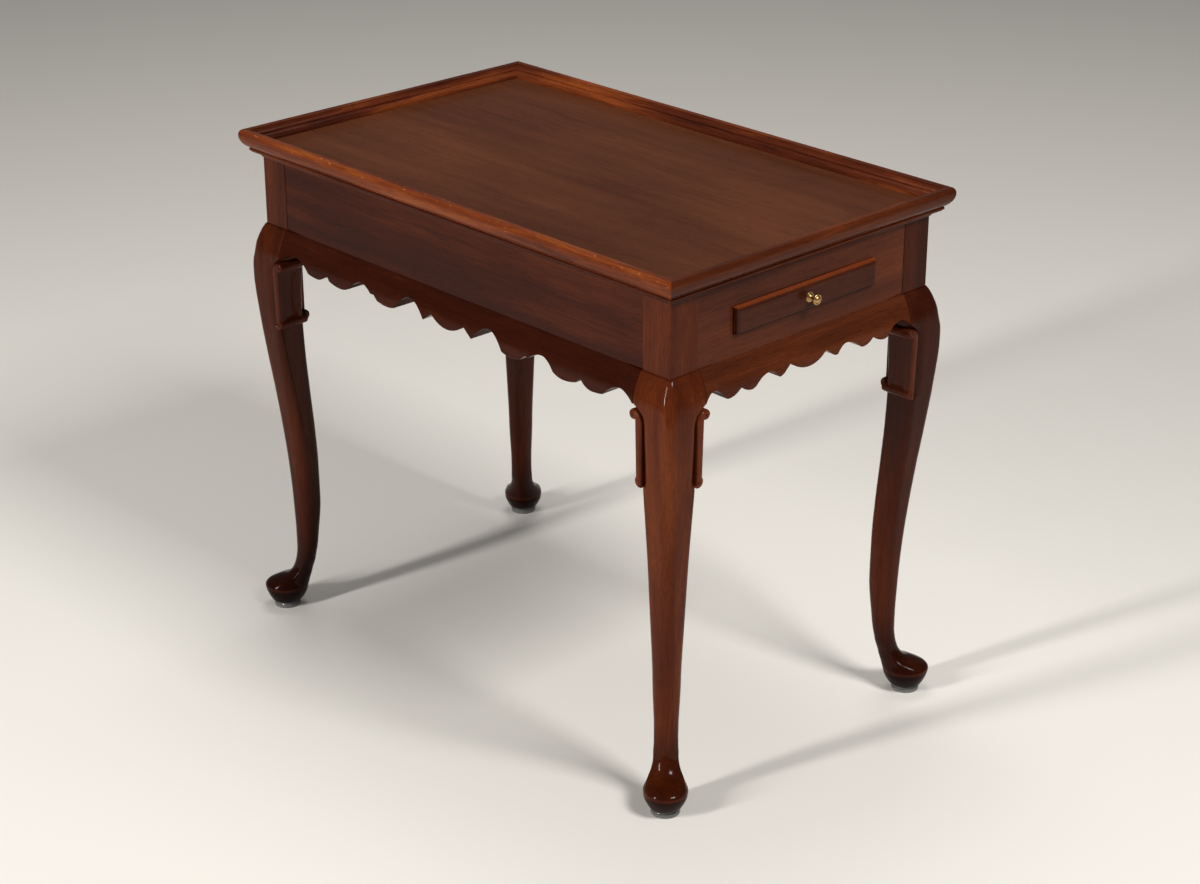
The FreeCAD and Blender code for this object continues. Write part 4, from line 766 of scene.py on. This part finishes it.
for side in ("right", "left"):
    finish_node("slide_board_" + side, mahogany("slide_board_mahogany_" + side, "X", 103.0))
    front_mahogany = mahogany("slide_front_mahogany_" + side, "Y", 109.0, "#2a100a", "#3c1b0f", "#522815")
    # The front's top edge gets a painted highlight, broken up a little by noise.
    wear_and_painted_light_edge(front_mahogany, low=616.5, high=621.5, worn_and_lit_colour=SLIDE_TOP_PAINTED_LIGHT,
              amount=0.9, breakup=0.2, start=0.55, end=0.85)
    finish_node("slide_front_" + side, front_mahogany)
    finish_node("stop_pegs_" + side, block_poplar)


# ---------------------------------------------------------------------------
# Knobs. Turned from solid brass with a stepped plate behind, lacquered, and
# warmed a little by age. Each is a dished head with a ring on a slim neck.
# ---------------------------------------------------------------------------

LIP_FACE = 381.0                 # the slide front's face, when it is pushed in
SLIDE_HEIGHT = 604.5
# Turned brass under lacquer: warm pale gold, with a small bright light on each
# ring and dark where it mirrors the wood.
BRASS = "#c9a574"
# Both profiles give the distance from the slide front's face, and the radius.
PLATE_PROFILE = ((0.0, 6.2), (0.2, 6.3), (0.8, 6.3), (1.05, 6.1), (1.15, 5.3), (1.3, 4.8), (1.8, 4.65),
                 (2.2, 4.3), (2.45, 3.6), (2.5, 2.2))
KNOB_PROFILE = ((2.4, 3.0), (2.9, 3.0), (3.4, 2.5), (5.4, 2.4), (6.6, 2.7), (7.6, 3.5), (8.8, 4.9),
                (10.0, 6.1), (10.9, 6.8), (11.6, 7.0), (12.4, 6.95), (13.0, 6.6), (13.4, 6.0), (13.45, 5.4),
                (13.15, 5.0), (13.1, 4.7), (13.4, 4.5), (14.2, 4.0), (14.9, 3.1), (15.3, 2.0), (15.5, 0.6))

turned_brass = plain_metal("turned_brass", BRASS, 0.28, 4.0)
for side, turn in (("right", 0), ("left", 180)):
    for name, node, profile in (("brass_plate_", "knob_plate_", PLATE_PROFILE),
                                ("brass_knob_", "knob_", KNOB_PROFILE)):
        points, faces = spun(profile)
        outward = [(c + LIP_FACE, a, b + SLIDE_HEIGHT) for a, b, c in points]
        piece(name + side, [(turned(outward, turn), faces)], turned_brass, side + "_slide", "turned_brass",
              node + side)


# ---------------------------------------------------------------------------
# Glides. Stepped discs of clear plastic, moulded in one piece and held under
# the feet by a steel nail each.
# ---------------------------------------------------------------------------

PAD_OFFSET = 22.63               # from the post's axis, along each side
# Height, radius.
GLIDE_PROFILE = ((0.0, 17.0), (0.2, 17.7), (0.8, 18.1), (3.7, 18.1), (4.5, 17.9), (5.0, 17.2), (5.2, 16.5),
                 (5.6, 16.2), (6.0, 16.1), (GLIDE_TOP, 16.1))

# Clear acrylic: glassy, with the dark foot and the floor seen through it,
# bright lines of light on its steps, and scuffs that dull it here and there.
PLASTIC_TINT = "#e9e6e0"
PLASTIC_IOR = 1.49
PLASTIC_CLEARNESS = 0.85
SCUFF_MM = 11.1

clear_plastic, plastic_tree, plastic_shader, plastic_place = fresh_finish("clear_glide_plastic")
scuff = add(plastic_tree, "ShaderNodeTexNoise",
            {"Vector": plastic_place, "Scale": 1000 / SCUFF_MM, "Detail": 2.0})
scuffed = add(plastic_tree, "ShaderNodeMapRange", {0: scuff.outputs["Fac"], 1: 0.3, 2: 0.7, 3: 0.04, 4: 0.10})
plastic_tree.links.new(scuffed.outputs[0], plastic_shader.inputs["Roughness"])
plastic_shader.inputs["Base Color"].default_value = rgb(PLASTIC_TINT)
plastic_shader.inputs["Transmission Weight"].default_value = PLASTIC_CLEARNESS
plastic_shader.inputs["IOR"].default_value = PLASTIC_IOR
glide_points, glide_faces = spun(GLIDE_PROFILE)
for corner, turn in CORNERS.items():
    under_foot = [(x + PAD_OFFSET, y - PAD_OFFSET, z) for x, y, z in glide_points]
    piece("clear_glide_" + corner, [(turned(under_foot, turn, *post_axis(turn)), glide_faces)], clear_plastic,
          "table", "clear_plastic", "glide_" + corner)
finish_node("glide_nails", zinc_steel)


# ---------------------------------------------------------------------------
# Studio. A plain pale floor under a faintly lit room, a tall narrow lamp in
# front, a square one over the right end, a weak one above, and the camera.
# ---------------------------------------------------------------------------

FLOOR_SIZE = 30.0
# Matt floor paint: an even warm white with no shine.
FLOOR_COLOUR = "#dfdad2"
FLOOR_ROUGHNESS = 0.8
WORLD_COLOUR = "#f4f3f1"
WORLD_STRENGTH = 0.16

floor_mesh = bpy.data.meshes.new("studio_floor")
half_floor = FLOOR_SIZE / 2
floor_mesh.from_pydata([(-half_floor, -half_floor, 0), (half_floor, -half_floor, 0),
                        (half_floor, half_floor, 0), (-half_floor, half_floor, 0)], [], [(0, 1, 2, 3)])
floor = bpy.data.objects.new("studio_floor", floor_mesh)
bpy.context.scene.collection.objects.link(floor)
floor_paint = bpy.data.materials.new("floor_paint")
floor_paint.use_nodes = True
floor_shader = floor_paint.node_tree.nodes["Principled BSDF"]
floor_shader.inputs["Base Color"].default_value = rgb(FLOOR_COLOUR)
floor_shader.inputs["Roughness"].default_value = FLOOR_ROUGHNESS
floor_mesh.materials.append(floor_paint)

world = bpy.data.worlds.new("studio_world")
world.use_nodes = True
bpy.context.scene.world = world
world.node_tree.nodes["Background"].inputs["Color"].default_value = rgb(WORLD_COLOUR)
world.node_tree.nodes["Background"].inputs["Strength"].default_value = WORLD_STRENGTH


def soft_lamp(name, place, target, width, height, watts):
    """A rectangular soft box that faces a target."""
    lamp = bpy.data.lights.new(name, "AREA")
    lamp.shape = "RECTANGLE"
    lamp.size = width
    lamp.size_y = height
    lamp.energy = watts
    holder = bpy.data.objects.new(name, lamp)
    holder.location = place
    holder.rotation_euler = (Vector(target) - Vector(place)).to_track_quat("-Z", "Y").to_euler()
    bpy.context.scene.collection.objects.link(holder)


TABLE_MIDDLE = (0.0, 0.0, 0.45)
soft_lamp("key_lamp", (-0.6, -3.9, 1.9), TABLE_MIDDLE, 0.32, 2.0, 145)
soft_lamp("fill_lamp", (2.9, 0.1, 3.3), TABLE_MIDDLE, 1.1, 1.1, 130)
soft_lamp("top_lamp", (-0.8, 0.8, 3.6), TABLE_MIDDLE, 1.6, 1.6, 35)

CAMERA_PLACE = (2.2202, -2.0750, 1.6421)
CAMERA_TARGET = (-0.06654, 0.08872, 0.24977)
CAMERA_ROLL = math.radians(-0.05)
SENSOR_WIDTH = 36.0
LENS = 76.19

camera_data = bpy.data.cameras.new("camera")
camera_data.sensor_width = SENSOR_WIDTH
camera_data.lens = LENS
camera = bpy.data.objects.new("camera", camera_data)
camera.location = CAMERA_PLACE
aim = (Vector(CAMERA_TARGET) - Vector(CAMERA_PLACE)).to_track_quat("-Z", "Y").to_matrix().to_4x4()
camera.rotation_euler = aim.to_euler()
camera.rotation_euler.rotate_axis("Z", CAMERA_ROLL)
bpy.context.scene.collection.objects.link(camera)
bpy.context.scene.camera = camera
bpy.context.scene.view_settings.view_transform = "Standard"
